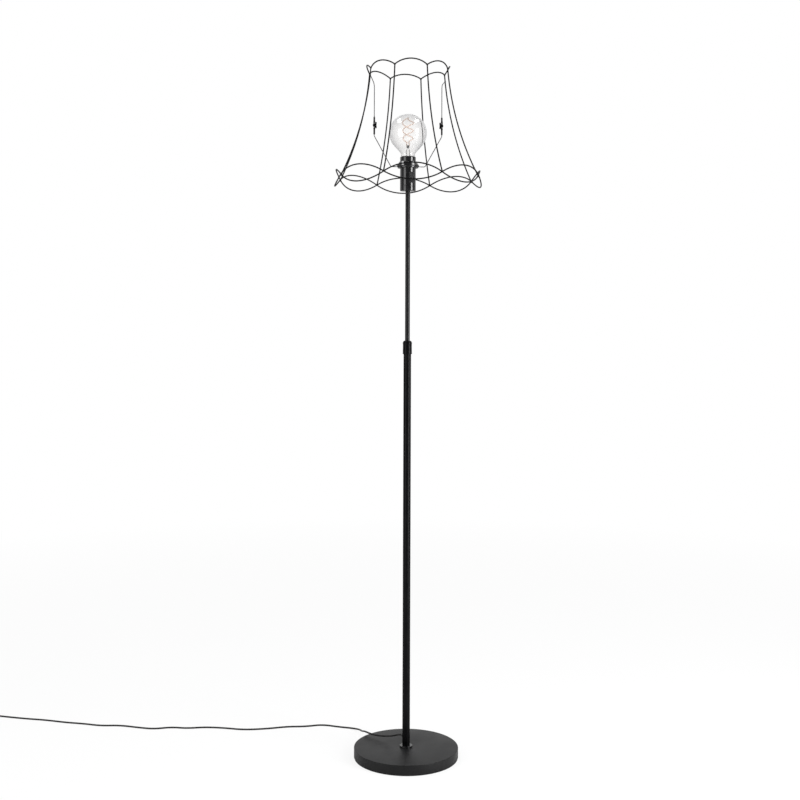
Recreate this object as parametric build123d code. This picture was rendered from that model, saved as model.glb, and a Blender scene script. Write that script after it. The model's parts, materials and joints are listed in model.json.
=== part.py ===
from build123d import *
from math import acos, atan, cos, pi, radians, sin, sqrt, tan
import os

# A floor lamp: a weighted round base, a two-stage pole with a twist collar, a switched
# lampholder with a globe bulb, and a bare wire cage that tilts on two knuckles.
# Millimetres. Z is up, the origin is the centre of the base on the floor, +Y is the back.

# ---- clearances ----
running = 0.07          # a shaft that turns or slides in its hole
seat = 0.1              # a round piece that sits in another one of the same body
free = 0.3              # pieces of different bodies that pass each other
edge_break = 1          # chamfer of turned ends

# ---- base ----
base_radius = 130
base_height = 26
base_edge = 1.6         # rounding of the cover's top edge
cover_wall = 1.5
cover_lift = 0.6        # the cover's rim stays off the floor
pad_thickness = 2.0
pad_inset = 0.6         # from the cover's inner wall
recess_radius = 20      # pocket for the bolt under the weight
recess_depth = 10
washer_radius = 15
washer_thickness = 2
bolt_radius = 5
bolt_head_flats = 17
bolt_head_height = 6.4
foot_insert_height = 19
foot_insert_slack = 1   # the bolt's tip below the top of the insert
foot_ring_radius = 16
foot_ring_height = 3.6

# ---- pole ----
lower_tube_radius = 9.5
lower_tube_wall = 1.2
lower_tube_length = 986
inner_tube_radius = 6
inner_tube_wall = 1.0
inner_tube_length = 565
inner_tube_visible = 374    # between the collar and the lampholder
bush_overlap = 18       # length of guide bush around the inner tube
bush_lip = 3.7
cord_exit_rise = 27     # above the base
cord_exit_azimuth = 150
dimple_drops = (6, 15)  # below the collar
dimple_radius = 1.3
dimple_depth = 0.6
dimple_azimuth = -86

# ---- twist collar ----
collar_overlap = 5      # the skirt hides the end of the lower tube
collar_height = 33
collar_skirt = 2.3      # outside of the skirt from the lower tube's surface
collar_taper = 0.65
collar_lip = 0.35
collar_lip_height = 1.2
collar_straight = 24    # height of the straight part below the dome
collar_mouth_wall = 2.2
insert_depth = 24       # collar insert inside the lower tube
thread_step = 0.3       # the collar's spigot is this much slimmer than the tube
thread_height = 16
collet_length = 13
collet_rise = 3         # above the spigot
collet_wall = 1.9
collet_slot = 1.5

# ---- lampholder ----
holder_radius = 19.75
holder_wall = 2.0
holder_floor = 3.5
cap_height = 52         # lower half, with the switch
shell_height = 34       # upper half, with the thread for the shade ring
shell_edge = 2.4
mouth_radius = 16.8
mouth_lip = 3
nipple_wall = 1.4
nipple_depth = 10       # into the inner tube
nipple_rise = 10        # into the lampholder
ceramic_floor = 6.5
ceramic_collar = 12
ceramic_wall = 1.5
screw_shell_wall = 0.5
screw_shell_height = 26
contact_rise = 2.7
contact_strip = 0.5
contact_width = 4
terminal_radius = 2.2
terminal_head = 1.6
terminal_shank = 1.4
terminal_depth = 3.5
terminal_offset = 9

# ---- rocker switch ----
switch_azimuth = -62
switch_height = 33      # centre above the bottom of the lampholder
bezel_width = 16
bezel_height = 27
bezel_rise = 0.85       # above the round of the lampholder
bezel_corner = 2
window_width = 11.6
window_height = 20.4
rocker_pivot_depth = 2.0
rocker_crown = 0.6      # middle of the rocker above the bezel
rocker_horn = 1.9       # ends of the rocker above the bezel
rocker_back = 1.6       # behind the pivot
rocker_tilt = 8
pivot_radius = 1.0
pivot_length = 1.2
module_depth = 6.3
module_width = 11
module_height = 20

# ---- gimbal ----
gimbal_azimuth = 3.7
gimbal_rise = 60        # underside of the gimbal washer above the lampholder's bottom
washer_plate = 1.5
gimbal_plate_radius = 27
gimbal_slack = 0.55     # the washer slips over the lampholder's thread
support_ring_height = 2.8
support_ring_radius = 26
ring_rim_radius = 29.2
ring_top_radius = 21.3
ring_height = 11.8
ring_wall = 1.4
ring_hub = 2.6
ring_rim_lift = 0.7     # the skirt's rim above the washer
arm_radius = 1.0
arm_bend = 42.5         # where the arm turns upwards
arm_bend_radius = 5

# ---- knuckles ----
knuckle_distance = 84.6
pivot_rise = 104        # above the gimbal washer
eye_radius = 5
eye_thickness = 2.15
eye_gap = 0.3
tongue_width = 5
tongue_length = 10.5
shoulder_height = 3.4
rod_radius = 1.65
lower_rod_length = 12.5
upper_rod_length = 10
screw_radius = 1.4
screw_head_radius = 2.8
screw_head = 1.3
screw_end = 0.4         # beyond the nut
nut_radius = 3.1
nut_height = 3.2
dogleg_rise = 82        # straight part of the suspension wires
rib_joint_drop = 16.5   # their weld below the top corners

# ---- cage ----
panel_count = 8
cage_azimuth = 26.2     # of the first rib
cage_wire = 1.65        # radius of the cage wire
top_radius = 103
top_rise = 134.6        # top corners above the pivots
top_scallop = 13        # rise of each arch
top_swell = 0.6         # how far an arch's middle stands outside its corners
bottom_radius = 182
bottom_drop = 132.5     # bottom corners below the pivots
bottom_scallop = 20     # height of a wave above and below its corners
wave_gap = 0.1
rib_sagitta = 13.9

# ---- bulb ----
bulb_radius = 47.5
bulb_rise = 63.8        # centre of the globe above the metal cap
bulb_neck_radius = 17.8
bulb_neck_rise = 7.5
bulb_neck_length = 5
bulb_throat_length = 7.5    # cemented in the cap
bulb_cap_radius = 13.1
bulb_cap_wall = 0.7
bulb_cap_length = 22.5
bulb_cap_bevel = 1.2
bulb_glass = 1.0
bulb_insulator_height = 2.8
bulb_contact_radius = 4.8
bulb_contact_height = 1.5
stem_radius = 4.6
stem_height = 38
filament_radius = 0.8
filament_drop = 22.3    # below the centre of the globe
filament_rise = 34.7    # above it
filament_tip = 5
filament_small = 13.6
filament_large = 16.5
filament_half_turns = 3
filament_steps = 3      # points in each half turn
filament_lead = 3
filament_root = 10      # leads fused in the stem, below its tip

# ---- cord and plug ----
cord_radius = 2.2
cord_exit_run = 24      # the cord leaves square to the pole as far as this from the axis
slack_first_bend = 8    # radius of the slack lead's bend behind the grommet
slack_rise = 22         # from the grommet's height to the first wave
slack_play = 2.4        # between the waves and the tube
slack_bends = 13
slack_end = 10          # straight lead below the guide bush
grommet_wall = 1.0
grommet_lip = 1.1
grommet_proud = 1.6
coil_centre_x = -1195
coil_middle_radius = 26
coil_gap = 0.45         # between the turns, side by side and one on the other
coil_half_turns = 4     # in each layer
coil_lift = 0.8         # the tie passes below the coil
coil_tail = 12          # straight cord between the coil and the plug
tie_thickness = 0.6
tie_width = 7
plug_width = 35.3
plug_thickness = 14.1
plug_front = 17
plug_shoulder = 15
plug_back_width = 12
plug_back_thickness = 10
plug_corner = 4.6
plug_face_edge = 1.2
relief_length = 20
relief_wall = 1.0
relief_taper = 1.4
pin_radius = 2
pin_length = 19
pin_root = 6            # in the plug's body
pin_spacing = 18.6

# Where the cord runs once it is out of the pole: down over the edge of the base and along
# the floor. The last point is where the coil begins.
cord_floor = cord_radius
cord_route = [
    (-38, 24.5, 44),
    (-58, 43, 36.5),
    (-80, 57, 34.5),
    (-98, 75, 34.3),
    (-107, 95, 31),
    (-114, 128, 19.5),
    (-121, 180, 6),
    (-143, 202, cord_floor),
    (-178, 211, cord_floor),
    (-224, 229, cord_floor),
    (-268, 213, cord_floor),
    (-317, 212, cord_floor),
    (-368, 195, cord_floor),
    (-430, 186, cord_floor),
    (-482, 200, cord_floor),
    (-535, 206, cord_floor),
    (-582, 196, cord_floor),
    (-625, 205, cord_floor),
    (-668, 190, cord_floor),
    (-712, 201, cord_floor),
    (-765, 218, cord_floor),
    (-815, 214, cord_floor),
    (-862, 229, cord_floor),
    (-915, 239, cord_floor),
    (-975, 258, cord_floor),
    (-1030, 268, cord_floor),
    (-1088, 282, cord_floor + 0.3),
    (-1142, 297, cord_floor + coil_lift),
    (coil_centre_x + 2 * cord_radius, 297, cord_floor + coil_lift),
]

# ---- sizes that follow ----
cover_under = base_height - cover_wall
recess_top = pad_thickness + recess_depth
lower_bore = lower_tube_radius - lower_tube_wall
lower_tube_top = base_height + lower_tube_length
collar_bottom = lower_tube_top - collar_overlap
collar_bottom_radius = lower_tube_radius + collar_skirt
collar_top_radius = collar_bottom_radius - collar_taper
collar_top = collar_bottom + collar_height
thread_radius = lower_tube_radius - thread_step
spigot_top = lower_tube_top + thread_height
collet_top = spigot_top + collet_rise
collet_bottom = collet_top - collet_length
sleeve_bore = inner_tube_radius + running
inner_bore = inner_tube_radius - inner_tube_wall
holder_bottom = collar_top + inner_tube_visible
inner_tube_bottom = holder_bottom - inner_tube_length
bush_bottom = inner_tube_bottom - bush_lip
cord_exit_height = base_height + cord_exit_rise

nipple_radius = inner_bore - seat / 2
cap_top = holder_bottom + cap_height
ceramic_bottom = cap_top - ceramic_floor
holder_top = cap_top + shell_height
holder_bore = holder_radius - holder_wall
screw_shell_bore = bulb_cap_radius + free
screw_shell_radius = screw_shell_bore + screw_shell_wall
switch_centre = holder_bottom + switch_height
terminal_azimuths = (switch_azimuth + 145, switch_azimuth + 215)
bezel_face = holder_radius + bezel_rise

gimbal_height = holder_bottom + gimbal_rise
gimbal_plate_top = gimbal_height + washer_plate
gimbal_hole = holder_radius + gimbal_slack
arm_height = gimbal_height + washer_plate / 2
pivot_height = gimbal_height + pivot_rise
rod_bottom = pivot_height - tongue_length - lower_rod_length
rod_top = pivot_height + tongue_length + upper_rod_length
top_height = pivot_height + top_rise
bottom_height = pivot_height - bottom_drop
dogleg_height = rod_top + dogleg_rise
rib_joint_height = top_height - rib_joint_drop
panel_angle = 360 / panel_count

bulb_bottom = cap_top + contact_rise
bulb_insulator_bottom = bulb_bottom + bulb_contact_height
bulb_cap_bottom = bulb_insulator_bottom + bulb_insulator_height
bulb_cap_top = bulb_cap_bottom + bulb_cap_length
bulb_cap_bore = bulb_cap_radius - bulb_cap_wall
bulb_throat_radius = bulb_cap_bore - 2 * seat
bulb_glass_bottom = bulb_cap_top - bulb_throat_length
bulb_neck_bottom = bulb_cap_top + bulb_neck_rise
bulb_neck_top = bulb_neck_bottom + bulb_neck_length
bulb_centre = bulb_cap_top + bulb_rise
stem_top = bulb_glass_bottom + stem_height
filament_bottom = bulb_centre - filament_drop
filament_top = bulb_centre + filament_rise
filament_apex = filament_top + filament_tip

grommet_body = cord_radius + seat + grommet_wall
grommet_flange = grommet_body + grommet_lip
coil_pitch = 2 * cord_radius + coil_gap
relief_radius = cord_radius + relief_wall
relief_base = relief_radius + relief_taper
plug_face = relief_length + plug_shoulder + plug_front


def around(azimuth, radius, height):
    """The point at that azimuth and distance from the lamp's axis."""
    angle = radians(azimuth)
    return Vector(radius * cos(angle), radius * sin(angle), height)


def turned(*outline):
    """A solid of revolution about Z from (radius, height) corners."""
    return revolve(make_face(Polyline(*[(r, 0, z) for r, z in outline], close=True)), Axis.Z)


def ring(inner, outer, low, high):
    return turned((inner, low), (outer, low), (outer, high), (inner, high))


def rod(start, end, radius):
    """A round bar between two points."""
    line = Line(start, end)
    return sweep(Plane(origin=start, z_dir=line % 0) * Circle(radius), path=line)


def wire(path, radius):
    """A round wire along a line, an arc or a chain of them."""
    return sweep(Plane(origin=path @ 0, z_dir=path % 0) * Circle(radius), path=path)


def rims(solid, radius, height):
    """The circular edges of that radius at that height."""
    circles = solid.edges().filter_by(GeomType.CIRCLE)
    return [e for e in circles if abs(e.radius - radius) < 0.01 and abs(e.center().Z - height) < 0.01]


def turn_between(before, corner, after):
    """Angle in degrees by which a route turns at its corner."""
    return (corner - before).get_angle(after - corner)


def widest_radii(points):
    """For each corner of a route, an arc as large as its two runs allow."""
    radii = []
    for before, corner, after in zip(points, points[1:], points[2:]):
        shorter = min((corner - before).length, (after - corner).length)
        half_turn = radians(turn_between(before, corner, after)) / 2
        radii.append(0.45 * shorter / tan(half_turn))
    return radii


def rounded_block(length, width, height, corner):
    """A block along X with its long edges rounded, from x = 0."""
    section = Plane.YZ * RectangleRounded(width, height, corner)
    return extrude(section, length)


# ================= base =================

def make_base_cover():
    inner = base_radius - cover_wall
    hole = bolt_radius + free
    shell = turned((hole, cover_under), (inner, cover_under), (inner, cover_lift),
                   (base_radius, cover_lift), (base_radius, base_height), (hole, base_height))
    return fillet(rims(shell, base_radius, base_height), base_edge)


def make_base_weight():
    outer = base_radius - cover_wall - seat
    hole = bolt_radius + free
    return turned((hole, recess_top), (recess_radius, recess_top), (recess_radius, pad_thickness),
                  (outer, pad_thickness), (outer, cover_under), (hole, cover_under))


def make_base_pad():
    radius = base_radius - cover_wall - pad_inset
    return turned((0, 0), (radius, 0), (radius, pad_thickness), (0, pad_thickness))


def make_base_washer():
    return ring(bolt_radius + free, washer_radius, recess_top - washer_thickness, recess_top)


def make_base_bolt():
    seat_height = recess_top - washer_thickness
    head = extrude(RegularPolygon(bolt_head_flats / 2, 6, major_radius=False), bolt_head_height)
    head = Pos(0, 0, seat_height - bolt_head_height) * head
    tip = base_height + foot_insert_height - foot_insert_slack
    shank = turned((0, seat_height), (bolt_radius, seat_height), (bolt_radius, tip - edge_break),
                   (bolt_radius - edge_break, tip), (0, tip))
    return head + shank


def make_foot_insert():
    top = base_height + foot_insert_height
    return ring(bolt_radius + seat / 2, lower_bore - seat / 2, base_height, top)


def make_foot_ring():
    top = base_height + foot_ring_height
    body = ring(lower_tube_radius + seat, foot_ring_radius, base_height, top)
    return fillet(rims(body, foot_ring_radius, top), foot_ring_height / 4)


# ================= pole =================

def make_lower_tube():
    tube = ring(lower_bore, lower_tube_radius, base_height, lower_tube_top)
    start = around(cord_exit_azimuth, 0, cord_exit_height)
    end = around(cord_exit_azimuth, 2 * lower_tube_radius, cord_exit_height)
    tube -= rod(start, end, grommet_body + seat)
    for drop in dimple_drops:
        sphere_at = lower_tube_radius - dimple_depth + dimple_radius
        centre = around(dimple_azimuth, sphere_at, collar_bottom - drop)
        tube -= Pos(*centre) * Sphere(dimple_radius)
    return tube


def make_cord_grommet():
    flange_face = lower_tube_radius + grommet_proud
    start = around(cord_exit_azimuth, lower_bore - edge_break, cord_exit_height)
    wall = around(cord_exit_azimuth, lower_bore, cord_exit_height)
    face = around(cord_exit_azimuth, flange_face, cord_exit_height)
    flange = rod(wall, face, grommet_flange) - Pos(0, 0, cord_exit_height) * Cylinder(
        lower_tube_radius, 6 * grommet_flange)
    body = rod(start, face, grommet_body)
    return flange + body - rod(start, face, cord_radius + seat)


def make_inner_tube():
    return ring(inner_bore, inner_tube_radius, inner_tube_bottom, holder_bottom)


def make_guide_bush():
    top = inner_tube_bottom + bush_overlap
    outer = lower_bore - running
    shelf = inner_tube_bottom - free
    hole = cord_radius + free
    chamfer_top = bush_bottom + edge_break
    return turned((hole, bush_bottom), (outer - edge_break, bush_bottom), (outer, chamfer_top),
                  (outer, top), (sleeve_bore, top), (sleeve_bore, shelf), (hole, shelf))


def make_collar_insert():
    """Turned bush held in the tube by two dimples, with the spigot for the collar."""
    bottom = lower_tube_top - insert_depth
    collet_seat = sleeve_bore + collet_wall + seat
    return turned((sleeve_bore, bottom), (lower_bore - seat, bottom),
                  (lower_bore - seat, lower_tube_top), (thread_radius, lower_tube_top),
                  (thread_radius, spigot_top), (collet_seat, spigot_top),
                  (sleeve_bore + seat, collet_bottom))


def make_collet():
    """Split cone that the collar squeezes on the inner tube."""
    outer = sleeve_bore + collet_wall
    cone = turned((sleeve_bore, collet_bottom + edge_break), (outer, spigot_top),
                  (outer, collet_top), (sleeve_bore, collet_top))
    slot = Box(collet_slot, 2 * lower_tube_radius, 4 * collet_length)
    return cone - Pos(0, lower_tube_radius, spigot_top) * slot


def make_clamp_collar():
    """Tapered sleeve with a domed top that turns on the spigot."""
    dome_start = collar_bottom + collar_straight
    skirt_bore = lower_tube_radius + free
    thread_bore = thread_radius + running
    collet_bore = sleeve_bore + collet_wall + free
    mouth = inner_tube_radius + free
    mouth_outer = mouth + collar_mouth_wall
    lip_top = collar_bottom + collar_lip_height
    outer = [(collar_bottom_radius, collar_bottom), (collar_bottom_radius, lip_top),
             (collar_bottom_radius - collar_lip, lip_top + 2 * collar_lip),
             (collar_top_radius, dome_start)]
    inner = [(mouth, collar_top), (mouth, collet_top + free), (collet_bore, collet_top + free),
             (collet_bore, spigot_top + free), (thread_bore, spigot_top + free),
             (thread_bore, lower_tube_top + free), (skirt_bore, lower_tube_top + free),
             (skirt_bore, collar_bottom)]
    shoulder = (collar_top_radius, 0, dome_start)
    mouth_edge = (mouth_outer, 0, collar_top)
    dome_run = collar_top_radius - mouth_outer
    dome_rise = collar_top - dome_start
    crown = (mouth_outer + dome_run * 0.72, 0, dome_start + dome_rise * 0.75)
    side = Polyline(*[(r, 0, z) for r, z in outer])
    dome = ThreePointArc(shoulder, crown, mouth_edge)
    core = Polyline(mouth_edge, *[(r, 0, z) for r, z in inner],
                    (collar_bottom_radius, 0, collar_bottom))
    return revolve(make_face([*side.edges(), dome, *core.edges()]), Axis.Z)


# ================= lampholder =================

def make_mast_nipple():
    low = holder_bottom - nipple_depth
    return ring(nipple_radius - nipple_wall, nipple_radius, low, holder_bottom + nipple_rise)


def make_holder_cap():
    """Lower half of the lampholder, with the bezel and window of the switch."""
    shelf = holder_bottom + holder_floor
    hole = nipple_radius + seat
    shell = turned((hole, holder_bottom), (holder_radius, holder_bottom), (holder_radius, cap_top),
                   (holder_bore, cap_top), (holder_bore, shelf), (hole, shelf))
    shell = fillet(rims(shell, holder_radius, holder_bottom), holder_wall / 2)
    bezel = rounded_block(bezel_face, bezel_width, bezel_height, bezel_corner)
    bezel = Pos(0, 0, switch_centre) * bezel
    bezel -= Pos(0, 0, switch_centre) * Cylinder(holder_bore, 2 * bezel_height)
    window = Pos(bezel_face, 0, switch_centre) * Box(holder_radius, window_width, window_height)
    pivot = (bezel_face - rocker_pivot_depth, switch_centre)
    reach = window_width / 2 + pivot_length + seat
    pivots = rod((pivot[0], -reach, pivot[1]), (pivot[0], reach, pivot[1]), pivot_radius + running)
    return shell + Rot(0, 0, switch_azimuth) * bezel - Rot(0, 0, switch_azimuth) * (window + pivots)


def make_switch_rocker():
    """Two-faced rocker on two stubs, pressed in at its upper end."""
    swing = window_height / 2 - seat * 2
    crown = rocker_pivot_depth + rocker_crown
    horn = rocker_pivot_depth + rocker_horn
    half = window_height / 2
    outline = Polyline((-rocker_back, 0, -half), (horn, 0, -half), (crown, 0, 0), (horn, 0, half),
                       (-rocker_back, 0, half), close=True)
    width = window_width - 2 * free
    body = Pos(0, width / 2, 0) * extrude(make_face(outline), width, dir=(0, -1, 0))
    body &= Rot(90, 0, 0) * Cylinder(swing, 2 * width)
    reach = window_width / 2 + pivot_length
    body += rod((0, -reach, 0), (0, reach, 0), pivot_radius)
    place = Pos(bezel_face - rocker_pivot_depth, 0, switch_centre) * Rot(0, -rocker_tilt, 0)
    return Rot(0, 0, switch_azimuth) * (place * body)


def make_switch_module():
    swing = window_height / 2
    back_sweep = rocker_back + swing * sin(radians(rocker_tilt))
    front = bezel_face - rocker_pivot_depth - back_sweep - free
    block = Pos(front - module_depth / 2, 0, switch_centre) * Box(module_depth, module_width,
                                                                  module_height)
    return Rot(0, 0, switch_azimuth) * block


def make_holder_shell():
    """Upper half of the lampholder, whose outside carries the shade ring."""
    lip = holder_top - mouth_lip
    shell = turned((holder_bore, cap_top), (holder_radius, cap_top), (holder_radius, holder_top),
                   (mouth_radius, holder_top), (mouth_radius, lip), (holder_bore, lip))
    return fillet(rims(shell, holder_radius, holder_top), shell_edge)


def make_holder_insert():
    """Ceramic block that carries the screw shell and the contacts."""
    outer = holder_bore - free
    step = screw_shell_radius + free
    rim = step + ceramic_wall
    collar = cap_top + ceramic_collar
    body = turned((0, ceramic_bottom), (outer, ceramic_bottom), (outer, cap_top), (rim, cap_top),
                  (rim, collar), (step, collar), (step, cap_top), (0, cap_top))
    for azimuth in terminal_azimuths:
        foot = around(azimuth, terminal_offset, ceramic_bottom)
        body -= Pos(*foot) * Cylinder(terminal_shank + seat, 2 * (terminal_depth + edge_break))
    return body


def make_terminal_screws():
    low = ceramic_bottom - terminal_head
    tip = ceramic_bottom + terminal_depth
    screw = turned((0, low), (terminal_radius, low), (terminal_radius, ceramic_bottom),
                   (terminal_shank, ceramic_bottom), (terminal_shank, tip), (0, tip))
    places = [around(azimuth, terminal_offset, 0) for azimuth in terminal_azimuths]
    return Compound(children=[Pos(*place) * screw for place in places])


def make_screw_shell():
    return ring(screw_shell_bore, screw_shell_radius, cap_top, cap_top + screw_shell_height)


def make_centre_contact():
    """Bent strip whose raised middle presses on the bulb."""
    foot = cap_top + contact_strip
    under = bulb_bottom - contact_strip
    reach = screw_shell_bore - 3
    outline = Polyline((-reach, 0, cap_top), (-reach / 2, 0, cap_top), (-reach / 4, 0, under),
                       (reach / 4, 0, under), (reach / 4, 0, bulb_bottom), (-reach / 3, 0, bulb_bottom),
                       (-reach * 0.58, 0, foot), (-reach, 0, foot), close=True)
    return Pos(0, contact_width / 2, 0) * extrude(make_face(outline), contact_width, dir=(0, -1, 0))


# ================= shade ring and gimbal =================

def make_support_ring():
    low = gimbal_height - support_ring_height
    body = ring(holder_radius + seat / 2, support_ring_radius, low, gimbal_height)
    return fillet(rims(body, support_ring_radius, low), support_ring_height / 3)


def make_shade_ring():
    """Nut with a conical skirt that clamps the gimbal washer."""
    top = gimbal_plate_top + ring_height
    rim = gimbal_plate_top + ring_rim_lift
    bore = holder_radius + running
    hub = bore + ring_hub
    slope = (ring_rim_radius - ring_top_radius) / (top - rim)
    ceiling = rim + (ring_rim_radius - ring_wall - hub - free) / slope
    return turned((bore, gimbal_plate_top), (hub, gimbal_plate_top), (hub, ceiling),
                  (hub + free, ceiling), (ring_rim_radius - ring_wall, rim), (ring_rim_radius, rim),
                  (ring_top_radius, top), (bore, top))


def make_gimbal_ring():
    return ring(gimbal_hole, gimbal_plate_radius, gimbal_height, gimbal_plate_top)


def make_gimbal_arm(azimuth, washer):
    """Wire from the washer out and up to the rod of the lower knuckle."""
    route = [Vector(gimbal_plate_radius - arm_radius, 0, arm_height),
             Vector(arm_bend, 0, arm_height),
             Vector(knuckle_distance, 0, rod_bottom - 4 * arm_radius),
             Vector(knuckle_distance, 0, rod_bottom)]
    path = FilletPolyline(*route, radius=[arm_bend_radius, arm_bend_radius])
    return Rot(0, 0, azimuth) * wire(path, arm_radius) - washer


def knuckle_half(side, lap):
    """Eye, tongue and rod. side is 1 upwards or -1 downwards, lap 1 outside or -1 inside."""
    near = knuckle_distance + lap * eye_gap / 2
    far = near + lap * eye_thickness
    low, high = min(near, far), max(near, far)
    length = upper_rod_length if side > 0 else lower_rod_length
    tongue_end = pivot_height + side * tongue_length
    eye = rod((low, 0, pivot_height), (high, 0, pivot_height), eye_radius)
    tongue = Pos((low + high) / 2, 0, (pivot_height + tongue_end) / 2) * Box(
        high - low, tongue_width, tongue_length)
    shoulder = rod((knuckle_distance, 0, tongue_end - side * shoulder_height),
                   (knuckle_distance, 0, tongue_end), tongue_width / 2 - eye_gap / 2)
    stem = rod((knuckle_distance, 0, tongue_end - side * shoulder_height / 2),
               (knuckle_distance, 0, tongue_end + side * length), rod_radius)
    return eye + tongue + shoulder + stem


def make_lower_knuckle(azimuth):
    half = knuckle_half(-1, -1)
    hole = rod((knuckle_distance - eye_radius, 0, pivot_height),
               (knuckle_distance + eye_radius, 0, pivot_height), screw_radius + running)
    return Rot(0, 0, azimuth) * (half - hole)


def make_upper_knuckle(azimuth):
    half = knuckle_half(1, 1)
    hole = rod((knuckle_distance - eye_radius, 0, pivot_height),
               (knuckle_distance + eye_radius, 0, pivot_height), screw_radius + seat / 2)
    return Rot(0, 0, azimuth) * (half - hole)


def make_pivot_screws():
    outer_face = knuckle_distance + eye_gap / 2 + eye_thickness
    tip = knuckle_distance - eye_gap / 2 - eye_thickness - nut_height - screw_end
    shank = rod((tip, 0, pivot_height), (outer_face, 0, pivot_height), screw_radius)
    head = rod((outer_face, 0, pivot_height), (outer_face + screw_head, 0, pivot_height),
               screw_head_radius)
    head = fillet(head.edges().filter_by(GeomType.CIRCLE).sort_by(Axis.X)[-1], screw_head / 2)
    screw = head + shank
    return Compound(children=[Rot(0, 0, gimbal_azimuth + turn) * screw for turn in (0, 180)])


def make_pivot_nuts():
    inner_face = knuckle_distance - eye_gap / 2 - eye_thickness
    hexagon = Plane.YZ * RegularPolygon(nut_radius, 6) - Plane.YZ * Circle(screw_radius + seat / 2)
    nut = Pos(inner_face - nut_height, 0, pivot_height) * extrude(hexagon, nut_height)
    return Compound(children=[Rot(0, 0, gimbal_azimuth + turn) * nut for turn in (0, 180)])


# ================= cage =================

def rib_arc(azimuth):
    """Concave arc from a corner of the top ring to a corner of the waves."""
    run = bottom_radius - top_radius
    drop = top_height - bottom_height
    chord = sqrt(run ** 2 + drop ** 2)
    inward = rib_sagitta * drop / chord
    down = rib_sagitta * run / chord
    middle_radius = (top_radius + bottom_radius) / 2 - inward
    middle_height = (top_height + bottom_height) / 2 - down
    return ThreePointArc(around(azimuth, top_radius, top_height),
                         around(azimuth, middle_radius, middle_height),
                         around(azimuth, bottom_radius, bottom_height))


def rib_radius_at(height):
    """Distance of a rib's centre line from the cage's axis."""
    run = bottom_radius - top_radius
    drop = top_height - bottom_height
    chord = sqrt(run ** 2 + drop ** 2)
    bend = (chord ** 2 / 4 + rib_sagitta ** 2) / (2 * rib_sagitta)
    back = bend - rib_sagitta
    centre_radius = (top_radius + bottom_radius) / 2 + back * drop / chord
    centre_height = (top_height + bottom_height) / 2 + back * run / chord
    return centre_radius - sqrt(bend ** 2 - (height - centre_height) ** 2)


def make_top_ring():
    """Eight arches that meet in cusps at the ribs."""
    arches = []
    for panel in range(panel_count):
        start = cage_azimuth + panel * panel_angle
        path = ThreePointArc(around(start, top_radius, top_height),
                             around(start + panel_angle / 2, top_radius + top_swell,
                                    top_height + top_scallop),
                             around(start + panel_angle, top_radius, top_height))
        arches.append(wire(path, cage_wire))
        arches.append(Pos(*around(start, top_radius, top_height)) * Sphere(cage_wire))
    return arches[0].fuse(*arches[1:])


def wave_tip_radius(corner_radius):
    """Distance of a wave's tips from the axis at which its arcs run on smoothly."""
    half_chord = corner_radius * sin(radians(panel_angle / 2))
    chord_distance = corner_radius * cos(radians(panel_angle / 2))
    lean = half_chord * tan(radians(panel_angle / 2)) / 2
    curve = lean / half_chord ** 2
    level = lean * (1 - bottom_scallop ** 2 / half_chord ** 2)
    return chord_distance + (sqrt(1 + 4 * curve * level) - 1) / (2 * curve)


def make_wave_wire(side):
    """One wave of the bottom edge. side is 1 outside or -1 inside, in opposite phase."""
    corner = bottom_radius + side * (cage_wire + wave_gap / 2)
    tip = wave_tip_radius(corner)
    arcs = []
    for panel in range(panel_count):
        start = cage_azimuth + panel * panel_angle
        swing = side * bottom_scallop * (-1) ** panel
        path = ThreePointArc(around(start, corner, bottom_height),
                             around(start + panel_angle / 2, tip, bottom_height + swing),
                             around(start + panel_angle, corner, bottom_height))
        arcs.append(wire(path, cage_wire))
    return arcs[0].fuse(*arcs[1:])


def make_rib(azimuth, joined):
    """One rib, cut where it is welded to the rings."""
    return wire(rib_arc(azimuth), cage_wire) - joined


def make_suspension_wire(turn, rib):
    """Thin wire from the upper knuckle that bends aside to its weld high on a rib."""
    weld_radius = rib_radius_at(rib_joint_height)
    route = [around(gimbal_azimuth + turn, knuckle_distance, rod_top),
             around(gimbal_azimuth + turn, knuckle_distance, dogleg_height),
             around(cage_azimuth + turn, weld_radius, rib_joint_height)]
    path = FilletPolyline(*route, radius=[3 * arm_bend_radius])
    return wire(path, arm_radius) - rib


# ================= bulb =================

def globe_form(inset):
    """Solid inside the glass, drawn in by the inset: throat, neck, cone and globe."""
    globe = bulb_radius - inset
    neck = bulb_neck_radius - inset
    throat = bulb_throat_radius - inset
    away = sqrt(neck ** 2 + (bulb_centre - bulb_neck_top) ** 2)
    touch = atan(neck / (bulb_centre - bulb_neck_top)) + acos(globe / away)
    shoulder = (globe * sin(touch), 0, bulb_centre - globe * cos(touch))
    equator = (globe * cos((touch - pi / 2) / 2), 0, bulb_centre + globe * sin((touch - pi / 2) / 2))
    pole_top = (0, 0, bulb_centre + globe)
    low = bulb_glass_bottom
    side = FilletPolyline((throat, 0, low), (throat, 0, bulb_cap_top), (neck, 0, bulb_neck_bottom),
                          (neck, 0, bulb_neck_top), shoulder, radius=[2, 3, 7])
    crown = ThreePointArc(shoulder, equator, pole_top)
    axis_side = Polyline(pole_top, (0, 0, low), (throat, 0, low))
    return revolve(make_face([*side.edges(), crown, *axis_side.edges()]), Axis.Z)


def make_bulb_glass():
    return globe_form(0) - globe_form(bulb_glass)


def make_bulb_cap():
    neck = bulb_cap_bore - bulb_cap_wall
    shoulder = bulb_cap_bottom + bulb_cap_bevel
    floor = shoulder + bulb_cap_wall
    return turned((neck, bulb_cap_bottom), (bulb_cap_radius, shoulder),
                  (bulb_cap_radius, bulb_cap_top), (bulb_cap_bore, bulb_cap_top),
                  (bulb_cap_bore, floor), (neck, floor))


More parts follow.
